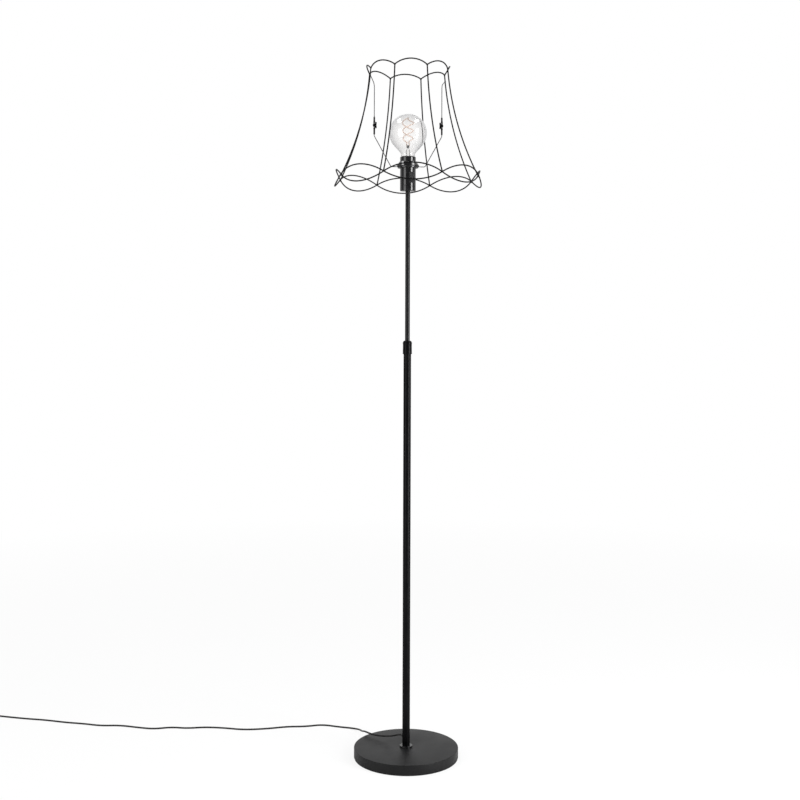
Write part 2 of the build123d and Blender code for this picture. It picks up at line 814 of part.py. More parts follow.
def make_bulb_insulator():
    outer = bulb_cap_bore - bulb_cap_wall - seat
    floor = bulb_cap_bottom + bulb_cap_bevel + bulb_cap_wall
    foot = bulb_contact_radius + edge_break
    return turned((0, bulb_insulator_bottom), (foot, bulb_insulator_bottom),
                  (outer, bulb_cap_bottom), (outer, floor), (0, floor))


def make_bulb_contact():
    edge = bulb_bottom + bulb_contact_height / 2
    return turned((0, bulb_bottom), (bulb_contact_radius - edge_break, bulb_bottom),
                  (bulb_contact_radius, edge), (bulb_contact_radius, bulb_insulator_bottom),
                  (0, bulb_insulator_bottom))


def make_bulb_stem():
    """Glass stem whose flare closes the throat of the bulb."""
    flare = bulb_throat_radius - bulb_glass - seat
    low = bulb_glass_bottom
    return turned((0, low), (flare, low), (flare, low + bulb_glass), (flare / 2, low + flare / 2),
                  (stem_radius, low + flare), (stem_radius, stem_top - 3 * stem_radius),
                  (stem_radius / 2, stem_top - stem_radius / 2), (0, stem_top))


def filament_strand(half):
    """Route of one strand of the double spiral, from the stem to the apex."""
    rise = (filament_top - filament_bottom) / (filament_half_turns * filament_steps)
    points = [around(half, filament_lead, stem_top - filament_root),
              around(half, filament_lead, filament_bottom - 2 * filament_lead)]
    for step in range(filament_half_turns * filament_steps + 1):
        upper = step > (filament_half_turns - 1) * filament_steps
        radius = filament_large if upper else filament_small
        points.append(around(half - 90 + step * 180 / filament_steps, radius,
                             filament_bottom + step * rise))
    return points


def make_bulb_filament():
    strand_up = filament_strand(0)
    strand_down = filament_strand(180)
    route = strand_up + [Vector(0, 0, filament_apex)] + strand_down[::-1]
    radii = [min(r, filament_large) for r in widest_radii(route)]
    return wire(FilletPolyline(*route, radius=radii), filament_radius)


# ================= cord =================

def make_inner_lead():
    """The lead inside the inner tube, up to the lampholder's terminals."""
    return turned((0, bush_bottom), (cord_radius, bush_bottom), (cord_radius, ceramic_bottom),
                  (0, ceramic_bottom))


def make_slack_lead():
    """The slack lead in the lower tube, in shallow waves from the grommet to the bush."""
    out = lower_tube_radius + grommet_proud
    first_wave = cord_exit_height + slack_rise
    wander = lower_bore - cord_radius - slack_play
    route = [around(cord_exit_azimuth, out, cord_exit_height),
             around(cord_exit_azimuth, 0, cord_exit_height),
             around(cord_exit_azimuth, -seat, first_wave)]
    step = (bush_bottom - first_wave) / (slack_bends + 1)
    for bend in range(slack_bends):
        side = 1 if bend % 2 == 0 else -1
        route.append(around(cord_exit_azimuth, side * wander, first_wave + (bend + 1) * step))
    route.append(Vector(0, 0, bush_bottom - slack_end))
    route.append(Vector(0, 0, bush_bottom))
    radii = widest_radii(route)
    radii[0] = slack_first_bend
    return wire(FilletPolyline(*route, radius=radii), cord_radius)


def make_cord_free():
    """The visible cord, from the grommet along the floor to the coil."""
    exit_point = around(cord_exit_azimuth, lower_tube_radius + grommet_proud, cord_exit_height)
    straight_out = around(cord_exit_azimuth, cord_exit_run, cord_exit_height)
    route = [exit_point, straight_out] + [Vector(*point) for point in cord_route]
    radii = widest_radii(route)
    path = FilletPolyline(*route, radius=radii)
    tube = wire(path, cord_radius)
    filled = tube.volume / (pi * cord_radius ** 2 * path.length)
    print("cord radii", [round(r) for r in radii])
    print("cord length", round(path.length, 1), "volume ratio", round(filled, 4))
    return tube


def coil_path():
    """Half-turn arcs: a layer inwards, a climbing half turn, a layer outwards."""
    start = Vector(*cord_route[-1])
    outer = coil_middle_radius + coil_half_turns * coil_pitch / 4
    x = coil_centre_x
    y = start.Y
    low = start.Z
    high = start.Z + coil_pitch
    pieces = [Line(start, (x, y, low))]
    side = -1
    radius = outer
    for layer in (0, 1):
        height = (low, high)[layer]
        for half in range(coil_half_turns):
            heading = side
            end_y = y + heading * 2 * radius
            middle = (x + heading * radius, (y + end_y) / 2, height)
            pieces.append(ThreePointArc((x, y, height), middle, (x, end_y, height)))
            y = end_y
            side = -side
            radius += (-1, 1)[layer] * coil_pitch / 2
        if layer == 0:
            end_y = y + side * 2 * radius
            middle = (x + side * sqrt(radius ** 2 + (coil_pitch / 2) ** 2), (y + end_y) / 2,
                      (low + high) / 2)
            pieces.append(ThreePointArc((x, y, low), middle, (x, end_y, high)))
            y = end_y
            side = -side
            radius += coil_pitch / 2
    end = Vector(x + coil_tail, y, high)
    pieces.append(Line((x, y, high), end))
    return Wire([piece.edge() for piece in pieces]), end


def least_gap(path, diameter):
    """Smallest distance between two stretches of a path that are not neighbours."""
    count = round(path.length / 1.5)
    points = [path @ (i / count) for i in range(count + 1)]
    apart = round(3 * diameter / 1.5)
    nearest = min((points[i] - points[j]).length for i in range(count + 1)
                  for j in range(i + apart, count + 1))
    return nearest - diameter


def make_cord_coil(path):
    gap = least_gap(path, 2 * cord_radius)
    print("coil length", round(path.length, 1), "least gap", round(gap, 2))
    return wire(path, cord_radius)


def make_coil_tie():
    """Band round the turns on the coil's far side."""
    start = Vector(*cord_route[-1])
    outer = coil_middle_radius + coil_half_turns * coil_pitch / 4
    reach = outer + cord_radius + free
    inner = outer - coil_half_turns * coil_pitch / 2 - coil_pitch / 2 - cord_radius - free
    centre_y = start.Y - outer
    slack = coil_lift - tie_thickness
    bottom = start.Z - cord_radius - coil_lift
    top = start.Z + coil_pitch + cord_radius + slack + tie_thickness
    length = reach - inner + 2 * tie_thickness
    band = Box(length, tie_width, top - bottom)
    band -= Box(length - 2 * tie_thickness, 2 * tie_width, top - bottom - 2 * tie_thickness)
    return Pos(coil_centre_x - (reach + inner) / 2, centre_y, (top + bottom) / 2) * band


def make_plug_body(entry):
    """Flat two-pin plug: a strain relief, a waisted shoulder and a rounded front."""
    root = Plane.YZ.offset(relief_length)
    edge = Plane.YZ.offset(relief_length + plug_shoulder)
    relief = loft([Plane.YZ * Circle(relief_radius), root * Circle(relief_base)])
    back = root * RectangleRounded(plug_back_width, plug_back_thickness, plug_corner)
    front = edge * RectangleRounded(plug_width, plug_thickness, plug_corner)
    shoulder = loft([back, front])
    face = extrude(front, plug_front)
    face = fillet(face.faces().sort_by(Axis.X)[-1].edges(), plug_face_edge)
    body = relief + shoulder + face
    for side in (-1, 1):
        at = side * pin_spacing / 2
        body -= rod((plug_face - pin_root, at, 0), (plug_face + seat, at, 0), pin_radius + seat / 2)
    return Pos(*entry) * body


def make_plug_pins(entry):
    pins = []
    for side in (-1, 1):
        at = side * pin_spacing / 2
        pin = rod((plug_face - pin_root, at, 0), (plug_face + pin_length, at, 0), pin_radius)
        tip = pin.edges().filter_by(GeomType.CIRCLE).sort_by(Axis.X)[-1]
        pins.append(Pos(*entry) * fillet(tip, pin_radius / 2))
    return Compound(children=pins)


# ================= assembly =================

def build_parts():
    parts = {}
    parts["base_cover"] = make_base_cover()
    parts["base_weight"] = make_base_weight()
    parts["base_pad"] = make_base_pad()
    parts["base_washer"] = make_base_washer()
    parts["base_bolt"] = make_base_bolt()
    parts["foot_insert"] = make_foot_insert()
    parts["foot_ring"] = make_foot_ring()
    parts["lower_tube"] = make_lower_tube()
    parts["cord_grommet"] = make_cord_grommet()
    parts["collar_insert"] = make_collar_insert()
    parts["collet"] = make_collet()
    parts["clamp_collar"] = make_clamp_collar()
    parts["guide_bush"] = make_guide_bush()
    parts["inner_tube"] = make_inner_tube()

    parts["mast_nipple"] = make_mast_nipple()
    parts["holder_cap"] = make_holder_cap()
    parts["holder_shell"] = make_holder_shell()
    parts["holder_insert"] = make_holder_insert()
    parts["screw_shell"] = make_screw_shell()
    parts["centre_contact"] = make_centre_contact()
    parts["terminal_screws"] = make_terminal_screws()
    parts["switch_module"] = make_switch_module()
    parts["switch_rocker"] = make_switch_rocker()

    parts["support_ring"] = make_support_ring()
    parts["shade_ring"] = make_shade_ring()
    parts["gimbal_ring"] = make_gimbal_ring()
    for name, azimuth in (("right", gimbal_azimuth), ("left", gimbal_azimuth + 180)):
        parts["gimbal_arm_" + name] = make_gimbal_arm(azimuth, parts["gimbal_ring"])
        parts["lower_knuckle_" + name] = make_lower_knuckle(azimuth)
        parts["upper_knuckle_" + name] = make_upper_knuckle(azimuth)
    parts["pivot_screws"] = make_pivot_screws()
    parts["pivot_nuts"] = make_pivot_nuts()

    parts["top_ring"] = make_top_ring()
    parts["wave_wire_outer"] = make_wave_wire(1)
    parts["wave_wire_inner"] = make_wave_wire(-1)
    joined = [parts["top_ring"], parts["wave_wire_outer"], parts["wave_wire_inner"]]
    for panel in range(panel_count):
        azimuth = cage_azimuth + panel * panel_angle
        parts["rib_" + str(panel + 1)] = make_rib(azimuth, joined)
    opposite = "rib_" + str(panel_count // 2 + 1)
    parts["suspension_wire_right"] = make_suspension_wire(0, parts["rib_1"])
    parts["suspension_wire_left"] = make_suspension_wire(180, parts[opposite])

    parts["bulb_glass"] = make_bulb_glass()
    parts["bulb_cap"] = make_bulb_cap()
    parts["bulb_insulator"] = make_bulb_insulator()
    parts["bulb_contact"] = make_bulb_contact()
    parts["bulb_stem"] = make_bulb_stem()
    parts["bulb_filament"] = make_bulb_filament()

    path, entry = coil_path()
    parts["inner_lead"] = make_inner_lead()
    parts["slack_lead"] = make_slack_lead()
    parts["cord_free"] = make_cord_free()
    parts["cord_coil"] = make_cord_coil(path)
    parts["coil_tie"] = make_coil_tie()
    parts["plug_body"] = make_plug_body(entry)
    parts["plug_pins"] = make_plug_pins(entry)
    return parts


os.makedirs("parts", exist_ok=True)
for node, shape in build_parts().items():
    export_step(shape, "parts/" + node + ".step")
    print(node, round(shape.volume, 1))
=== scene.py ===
import json
from math import acos, atan, cos, hypot, pi, radians, sin, tan
import bmesh
import bpy
from mathutils import Matrix, Vector

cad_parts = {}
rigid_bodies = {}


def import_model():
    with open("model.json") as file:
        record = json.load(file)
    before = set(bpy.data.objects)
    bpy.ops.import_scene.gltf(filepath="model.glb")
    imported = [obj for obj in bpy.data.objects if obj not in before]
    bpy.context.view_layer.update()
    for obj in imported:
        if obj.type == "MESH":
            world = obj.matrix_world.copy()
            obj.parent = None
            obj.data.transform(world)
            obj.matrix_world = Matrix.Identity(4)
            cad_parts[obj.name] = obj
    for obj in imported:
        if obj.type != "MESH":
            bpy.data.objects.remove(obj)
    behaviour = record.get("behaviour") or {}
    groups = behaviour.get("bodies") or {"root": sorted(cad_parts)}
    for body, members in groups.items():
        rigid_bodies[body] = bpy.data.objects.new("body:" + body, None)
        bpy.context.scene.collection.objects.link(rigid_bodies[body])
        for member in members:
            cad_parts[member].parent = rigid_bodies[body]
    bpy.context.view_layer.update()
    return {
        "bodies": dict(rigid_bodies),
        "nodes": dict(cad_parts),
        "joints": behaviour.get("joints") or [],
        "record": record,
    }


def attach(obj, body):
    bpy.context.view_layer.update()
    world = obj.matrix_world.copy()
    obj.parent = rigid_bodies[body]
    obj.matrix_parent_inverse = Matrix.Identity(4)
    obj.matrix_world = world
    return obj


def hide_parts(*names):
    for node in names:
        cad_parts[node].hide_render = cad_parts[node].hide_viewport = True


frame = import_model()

nodes = frame["nodes"]
mm = 0.001


def say(stage):
    print("scene:", stage)


# small helpers for work by hand

def dropSelection():
    if bpy.context.mode != "OBJECT":
        bpy.ops.object.mode_set(mode="OBJECT")
    bpy.ops.object.select_all(action="DESELECT")


def pickOnly(piece):
    dropSelection()
    piece.select_set(True)
    bpy.context.view_layer.objects.active = piece


def openForEdit(piece):
    pickOnly(piece)
    bpy.ops.object.mode_set(mode="EDIT")
    bpy.ops.mesh.select_mode(type="VERT")
    bpy.ops.mesh.select_all(action="DESELECT")


def pickFaces(piece, test):
    # selects the faces whose middle and normal pass the test, in edit mode
    bpy.ops.mesh.select_mode(type="FACE")
    bpy.ops.mesh.select_all(action="DESELECT")
    mesh = bmesh.from_edit_mesh(piece.data)
    for face in mesh.faces:
        face.select_set(test(face.calc_center_median(), face.normal))
    bmesh.update_edit_mesh(piece.data)


def pickEdges(piece, test):
    # selects the edges whose two ends pass the test, in edit mode
    bpy.ops.mesh.select_mode(type="EDGE")
    bpy.ops.mesh.select_all(action="DESELECT")
    mesh = bmesh.from_edit_mesh(piece.data)
    for edge in mesh.edges:
        edge.select_set(test(edge.verts[0].co, edge.verts[1].co))
    bmesh.update_edit_mesh(piece.data)


def applyModifier(piece, kind, **settings):
    pickOnly(piece)
    bpy.ops.object.modifier_add(type=kind)
    modifier = piece.modifiers[-1]
    for key, value in settings.items():
        setattr(modifier, key, value)
    bpy.ops.object.modifier_apply(modifier=modifier.name)


def closeForm(piece, threshold=0.00001):
    # merges doubles and turns the faces outwards
    openForEdit(piece)
    bpy.ops.mesh.select_all(action="SELECT")
    bpy.ops.mesh.remove_doubles(threshold=threshold)
    bpy.ops.mesh.normals_make_consistent(inside=False)
    bpy.ops.object.mode_set(mode="OBJECT")


def joinPieces(pieces, name):
    dropSelection()
    for piece in pieces:
        piece.select_set(True)
    bpy.context.view_layer.objects.active = pieces[0]
    bpy.ops.object.join()
    joined = bpy.context.active_object
    joined.name = name
    return joined


def copyPiece(piece):
    pickOnly(piece)
    bpy.ops.object.duplicate()
    return bpy.context.active_object


def finishPiece(piece, name, body, material, replaced=(), smooth=35):
    pickOnly(piece)
    bpy.ops.object.transform_apply(location=True, rotation=True, scale=True)
    if smooth:
        bpy.ops.object.shade_smooth_by_angle(angle=radians(smooth))
    piece.name = name
    piece.data.name = name
    piece.data.materials.clear()
    piece.data.materials.append(material)
    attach(piece, body)
    if replaced:
        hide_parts(*replaced)
    return piece


def around(azimuth, radius, height):
    angle = radians(azimuth)
    return Vector((radius * cos(angle) * mm, radius * sin(angle) * mm, height * mm))


def softOutline(corners, steps=5):
    # corners are (radius, height) or (radius, height, rounding), in millimetres
    outline = [corners[0][:2]]
    for before, corner, after in zip(corners, corners[1:], corners[2:]):
        rounding = corner[2] if len(corner) > 2 else 0
        here = Vector(corner[:2])
        back = (Vector(before[:2]) - here).normalized()
        ahead = (Vector(after[:2]) - here).normalized()
        if not rounding:
            outline.append(tuple(here))
            continue
        halfAngle = back.angle(ahead) / 2
        reach = rounding / tan(halfAngle)
        centre = here + (back + ahead).normalized() * (rounding / sin(halfAngle))
        start = here + back * reach - centre
        sweep = start.angle_signed(here + ahead * reach - centre)
        for step in range(steps + 1):
            turn = Matrix.Rotation(-sweep * step / steps, 2)
            outline.append(tuple(centre + turn @ start))
    outline.append(corners[-1][:2])
    return outline


def drawTube(line, thickness, order, steps, bevelSteps):
    # one smooth round tube along points in millimetres
    dropSelection()
    bpy.ops.curve.primitive_nurbs_path_add()
    tube = bpy.context.active_object
    tube.data.splines.clear()
    spline = tube.data.splines.new("NURBS")
    spline.points.add(len(line) - 1)
    for point, place in zip(spline.points, line):
        point.co = (place[0] * mm, place[1] * mm, place[2] * mm, 1)
    spline.order_u = order
    spline.use_endpoint_u = True
    spline.resolution_u = steps
    tube.data.bevel_depth = thickness / 2 * mm
    tube.data.bevel_resolution = bevelSteps
    tube.data.use_fill_caps = True
    return tube


def turnPiece(outline, sides=96):
    # a ring of points drawn out along the outline, as on a lathe
    tiny = 0.0005           # millimetres, stands for a point on the axis
    dropSelection()
    radius, height = outline[0]
    radius = max(radius, tiny)
    bpy.ops.mesh.primitive_circle_add(vertices=sides, radius=radius * mm,
                                      location=(0, 0, height * mm))
    piece = bpy.context.active_object
    bpy.ops.object.mode_set(mode="EDIT")
    bpy.ops.mesh.select_all(action="SELECT")
    for corner in outline[1:]:
        nextRadius, nextHeight = max(corner[0], tiny), corner[1]
        rise = (0, 0, (nextHeight - height) * mm)
        grow = nextRadius / radius
        bpy.ops.mesh.extrude_edges_move(TRANSFORM_OT_translate={"value": rise})
        bpy.ops.transform.resize(value=(grow, grow, 1), center_override=(0, 0, nextHeight * mm))
        radius, height = nextRadius, nextHeight
    bpy.ops.object.mode_set(mode="OBJECT")
    bpy.ops.object.transform_apply(location=True, rotation=False, scale=False)
    closeForm(piece)
    return piece


# camera, floor and light

cameraPlace = {
    "photoWidth": 800,
    "focalPixels": 1230,
    "sensorWidth": 36,
    "distance": 3.075,
    "height": 1.121,
    "sideways": -0.0187,
    "horizonRow": 308.3,
    "roll": 0.19,           # degrees, the pole's top leans right
}


def placeCamera(place):
    tilt = (radians(90), radians(-place["roll"]), 0)
    where = (place["sideways"], -place["distance"], place["height"])
    bpy.ops.object.camera_add(location=where, rotation=tilt)
    camera = bpy.context.active_object
    camera.name = "photoCamera"
    camera.data.sensor_width = place["sensorWidth"]
    camera.data.lens = place["focalPixels"] / place["photoWidth"] * place["sensorWidth"]
    camera.data.shift_y = (place["horizonRow"] / place["photoWidth"]) - 0.5
    camera.data.clip_start = 0.05
    camera.data.clip_end = 100
    camera.data.dof.use_dof = False
    bpy.context.scene.camera = camera


studioLamps = [
    {"name": "softboxRight", "azimuth": 58, "distance": 2.6, "height": 1.25, "width": 1.0,
     "tall": 2.3, "power": 120},
    {"name": "softboxLeft", "azimuth": -48, "distance": 2.6, "height": 1.25, "width": 1.5,
     "tall": 2.3, "power": 42},
    {"name": "stripTopRight", "azimuth": 98, "distance": 1.15, "height": 3.2, "width": 1.3,
     "tall": 0.45, "power": 24},
    {"name": "stripTopLeft", "azimuth": -98, "distance": 1.15, "height": 3.2, "width": 1.3,
     "tall": 0.45, "power": 24},
]


lampTarget = Vector((0, 0, 1.0))        # all lamps point at the middle of the pole


def hangLamp(lamp):
    # azimuth 0 is the camera's side, positive to its right
    angle = radians(lamp["azimuth"])
    place = Vector((sin(angle) * lamp["distance"], -cos(angle) * lamp["distance"], lamp["height"]))
    turn = (lampTarget - place).to_track_quat("-Z", "Y").to_euler()
    bpy.ops.object.light_add(type="AREA", location=place, rotation=turn)
    light = bpy.context.active_object
    light.name = lamp["name"]
    light.data.shape = "RECTANGLE"
    light.data.size = lamp["width"]
    light.data.size_y = lamp["tall"]
    light.data.energy = lamp["power"]
    light.visible_camera = False
    light.visible_transmission = False    # nor is it seen through the bulb


studioRoom = {
    "fill": 0.62,           # light that the pale walls send back
    "backdrop": 1.0,
    "frontGloss": 0.22,     # what gloss sees of the room on the camera's side
    "glossFrom": -0.25,     # depth at which that darker side ends
    "glossTo": 0.35,        # and at which the bright backdrop begins
    "floorColor": (0.66, 0.66, 0.66),
    "floorLift": 0.84,      # share of plain white in the floor that the camera sees
    "liftFrom": 0.7,        # metres from the lamp where that share begins to grow
    "liftTo": 3.5,          # and where it is whole
    "floorSize": 60,
}


def buildWorld(room):
    world = bpy.data.worlds.new("studioRoom")
    bpy.context.scene.world = world
    world.use_nodes = True
    tree = world.node_tree
    tree.nodes.clear()
    rays = tree.nodes.new("ShaderNodeLightPath")
    coords = tree.nodes.new("ShaderNodeTexCoord")
    split = tree.nodes.new("ShaderNodeSeparateXYZ")
    depth = tree.nodes.new("ShaderNodeMapRange")
    depth.inputs["From Min"].default_value = room["glossFrom"]
    depth.inputs["From Max"].default_value = room["glossTo"]
    depth.inputs["To Min"].default_value = room["frontGloss"]
    depth.inputs["To Max"].default_value = room["backdrop"]
    tree.links.new(coords.outputs["Generated"], split.inputs[0])
    tree.links.new(split.outputs["Y"], depth.inputs["Value"])
    fill = tree.nodes.new("ShaderNodeBackground")
    fill.inputs["Strength"].default_value = room["fill"]
    gloss = tree.nodes.new("ShaderNodeBackground")
    tree.links.new(depth.outputs["Result"], gloss.inputs["Strength"])
    seen = tree.nodes.new("ShaderNodeBackground")
    seen.inputs["Strength"].default_value = room["backdrop"]
    for shader in (fill, gloss, seen):
        shader.inputs["Color"].default_value = (1, 1, 1, 1)
    either = tree.nodes.new("ShaderNodeMath")
    either.operation = "MAXIMUM"
    tree.links.new(rays.outputs["Is Camera Ray"], either.inputs[0])
    tree.links.new(rays.outputs["Is Transmission Ray"], either.inputs[1])
    withGloss = tree.nodes.new("ShaderNodeMixShader")
    tree.links.new(rays.outputs["Is Glossy Ray"], withGloss.inputs[0])
    tree.links.new(fill.outputs[0], withGloss.inputs[1])
    tree.links.new(gloss.outputs[0], withGloss.inputs[2])
    withCamera = tree.nodes.new("ShaderNodeMixShader")
    tree.links.new(either.outputs[0], withCamera.inputs[0])
    tree.links.new(withGloss.outputs[0], withCamera.inputs[1])
    tree.links.new(seen.outputs[0], withCamera.inputs[2])
    output = tree.nodes.new("ShaderNodeOutputWorld")
    tree.links.new(withCamera.outputs[0], output.inputs["Surface"])


def layFloor(room):
    dropSelection()
    bpy.ops.mesh.primitive_plane_add(size=room["floorSize"], location=(0, 0, 0))
    floor = bpy.context.active_object
    floor.name = "studioFloor"
    material = bpy.data.materials.new("paleFloor")
    material.use_nodes = True
    tree = material.node_tree
    tree.nodes.clear()
    rays = tree.nodes.new("ShaderNodeLightPath")
    matte = tree.nodes.new("ShaderNodeBsdfDiffuse")
    matte.inputs["Color"].default_value = (*room["floorColor"], 1)
    white = tree.nodes.new("ShaderNodeEmission")
    white.inputs["Color"].default_value = (1, 1, 1, 1)
    white.inputs["Strength"].default_value = 1
    either = tree.nodes.new("ShaderNodeMath")
    either.operation = "MAXIMUM"
    tree.links.new(rays.outputs["Is Camera Ray"], either.inputs[0])
    tree.links.new(rays.outputs["Is Transmission Ray"], either.inputs[1])
    place = tree.nodes.new("ShaderNodeTexCoord")
    away = tree.nodes.new("ShaderNodeVectorMath")
    away.operation = "LENGTH"
    tree.links.new(place.outputs["Object"], away.inputs[0])
    lift = tree.nodes.new("ShaderNodeMapRange")
    lift.inputs["From Min"].default_value = room["liftFrom"]
    lift.inputs["From Max"].default_value = room["liftTo"]
    lift.inputs["To Min"].default_value = room["floorLift"]
    lift.inputs["To Max"].default_value = 1
    tree.links.new(away.outputs["Value"], lift.inputs["Value"])
    share = tree.nodes.new("ShaderNodeMath")
    share.operation = "MULTIPLY"
    tree.links.new(lift.outputs["Result"], share.inputs[1])
    tree.links.new(either.outputs[0], share.inputs[0])
    blend = tree.nodes.new("ShaderNodeMixShader")
    tree.links.new(share.outputs[0], blend.inputs[0])
    tree.links.new(matte.outputs[0], blend.inputs[1])
    tree.links.new(white.outputs[0], blend.inputs[2])
    output = tree.nodes.new("ShaderNodeOutputMaterial")
    tree.links.new(blend.outputs[0], output.inputs["Surface"])
    floor.data.materials.append(material)


bpy.context.scene.view_settings.view_transform = "Standard"
placeCamera(cameraPlace)
for lamp in studioLamps:
    hangLamp(lamp)
buildWorld(studioRoom)
layFloor(studioRoom)
say("camera, light and floor")


# finishes

def surfaceMaterial(name, look):
    # colour patches, a fine grain in the surface and uneven gloss
    material = bpy.data.materials.new(name)
    material.use_nodes = True
    tree = material.node_tree
    shader = tree.nodes["Principled BSDF"]
    shader.inputs["Metallic"].default_value = look.get("metal", 0)
    shader.inputs["IOR"].default_value = look.get("ior", 1.45)
    shader.inputs["Specular IOR Level"].default_value = look.get("specular", 0.5)
    shader.inputs["Coat Weight"].default_value = look.get("coat", 0)
    shader.inputs["Coat Roughness"].default_value = look.get("coatRough", 0.1)
    coords = tree.nodes.new("ShaderNodeTexCoord")
    place = tree.nodes.new("ShaderNodeMapping")
    place.inputs["Scale"].default_value = look.get("stretch", (1, 1, 1))
    tree.links.new(coords.outputs["Object"], place.inputs["Vector"])

    patches = tree.nodes.new("ShaderNodeTexNoise")
    patches.inputs["Scale"].default_value = 1000 / look["patchSize"]
    patches.inputs["Detail"].default_value = 3
    tree.links.new(place.outputs[0], patches.inputs["Vector"])
    tint = tree.nodes.new("ShaderNodeValToRGB")
    tint.color_ramp.elements[0].position = 0.35
    tint.color_ramp.elements[0].color = (*look["dark"], 1)
    tint.color_ramp.elements[1].position = 0.68
    tint.color_ramp.elements[1].color = (*look["light"], 1)
    tree.links.new(patches.outputs["Fac"], tint.inputs["Fac"])
    tree.links.new(tint.outputs["Color"], shader.inputs["Base Color"])

    grain = tree.nodes.new("ShaderNodeTexNoise")
    grain.inputs["Scale"].default_value = 1000 / look["grainSize"]
    grain.inputs["Detail"].default_value = 2
    tree.links.new(place.outputs[0], grain.inputs["Vector"])
    gloss = tree.nodes.new("ShaderNodeMapRange")
    gloss.inputs["From Min"].default_value = 0.3
    gloss.inputs["From Max"].default_value = 0.7
    gloss.inputs["To Min"].default_value = look["roughLow"]
    gloss.inputs["To Max"].default_value = look["roughHigh"]
    tree.links.new(patches.outputs["Fac"], gloss.inputs["Value"])
    tree.links.new(gloss.outputs["Result"], shader.inputs["Roughness"])
    bump = tree.nodes.new("ShaderNodeBump")
    bump.inputs["Strength"].default_value = look.get("bump", 0.5)
    bump.inputs["Distance"].default_value = look["grainDepth"] * mm
    tree.links.new(grain.outputs["Fac"], bump.inputs["Height"])
    tree.links.new(bump.outputs["Normal"], shader.inputs["Normal"])
    return material


def glassMaterial(name, look):
    # clear glass with faint waves from the blowing, with painted shade that makes its colour
    # greyer where it is seen edge on
    material = bpy.data.materials.new(name)
    material.use_nodes = True
    tree = material.node_tree
    shader = tree.nodes["Principled BSDF"]
    shader.inputs["Transmission Weight"].default_value = 1
    shader.inputs["Roughness"].default_value = look["rough"]
    shader.inputs["IOR"].default_value = look["ior"]
    # painted shade: the base colour fades to the darker edge colour as the surface turns away from
    # the camera
    edge = tree.nodes.new("ShaderNodeLayerWeight")
    edge.inputs["Blend"].default_value = 0.5
    tint = tree.nodes.new("ShaderNodeValToRGB")
    tint.color_ramp.elements[0].position = look["edgeFrom"]
    tint.color_ramp.elements[0].color = (*look["color"], 1)
    tint.color_ramp.elements[1].position = look["edgeTo"]
    tint.color_ramp.elements[1].color = (*look["edge"], 1)
    tree.links.new(edge.outputs["Facing"], tint.inputs["Fac"])
    tree.links.new(tint.outputs["Color"], shader.inputs["Base Color"])
    coords = tree.nodes.new("ShaderNodeTexCoord")
    waves = tree.nodes.new("ShaderNodeTexNoise")
    waves.inputs["Scale"].default_value = 1000 / look["waveSize"]
    waves.inputs["Detail"].default_value = 1
    tree.links.new(coords.outputs["Object"], waves.inputs["Vector"])
    bump = tree.nodes.new("ShaderNodeBump")
    bump.inputs["Strength"].default_value = 0.4
    bump.inputs["Distance"].default_value = look["waveDepth"] * mm
    tree.links.new(waves.outputs["Fac"], bump.inputs["Height"])
    tree.links.new(bump.outputs["Normal"], shader.inputs["Normal"])
    return material


def glowMaterial(name, look):
    # a pale coat with a faint glow of its own, a little uneven along it
    material = surfaceMaterial(name, look)
    shader = material.node_tree.nodes["Principled BSDF"]
    shader.inputs["Emission Color"].default_value = (*look["glow"], 1)
    shader.inputs["Emission Strength"].default_value = look["glowStrength"]
    return material


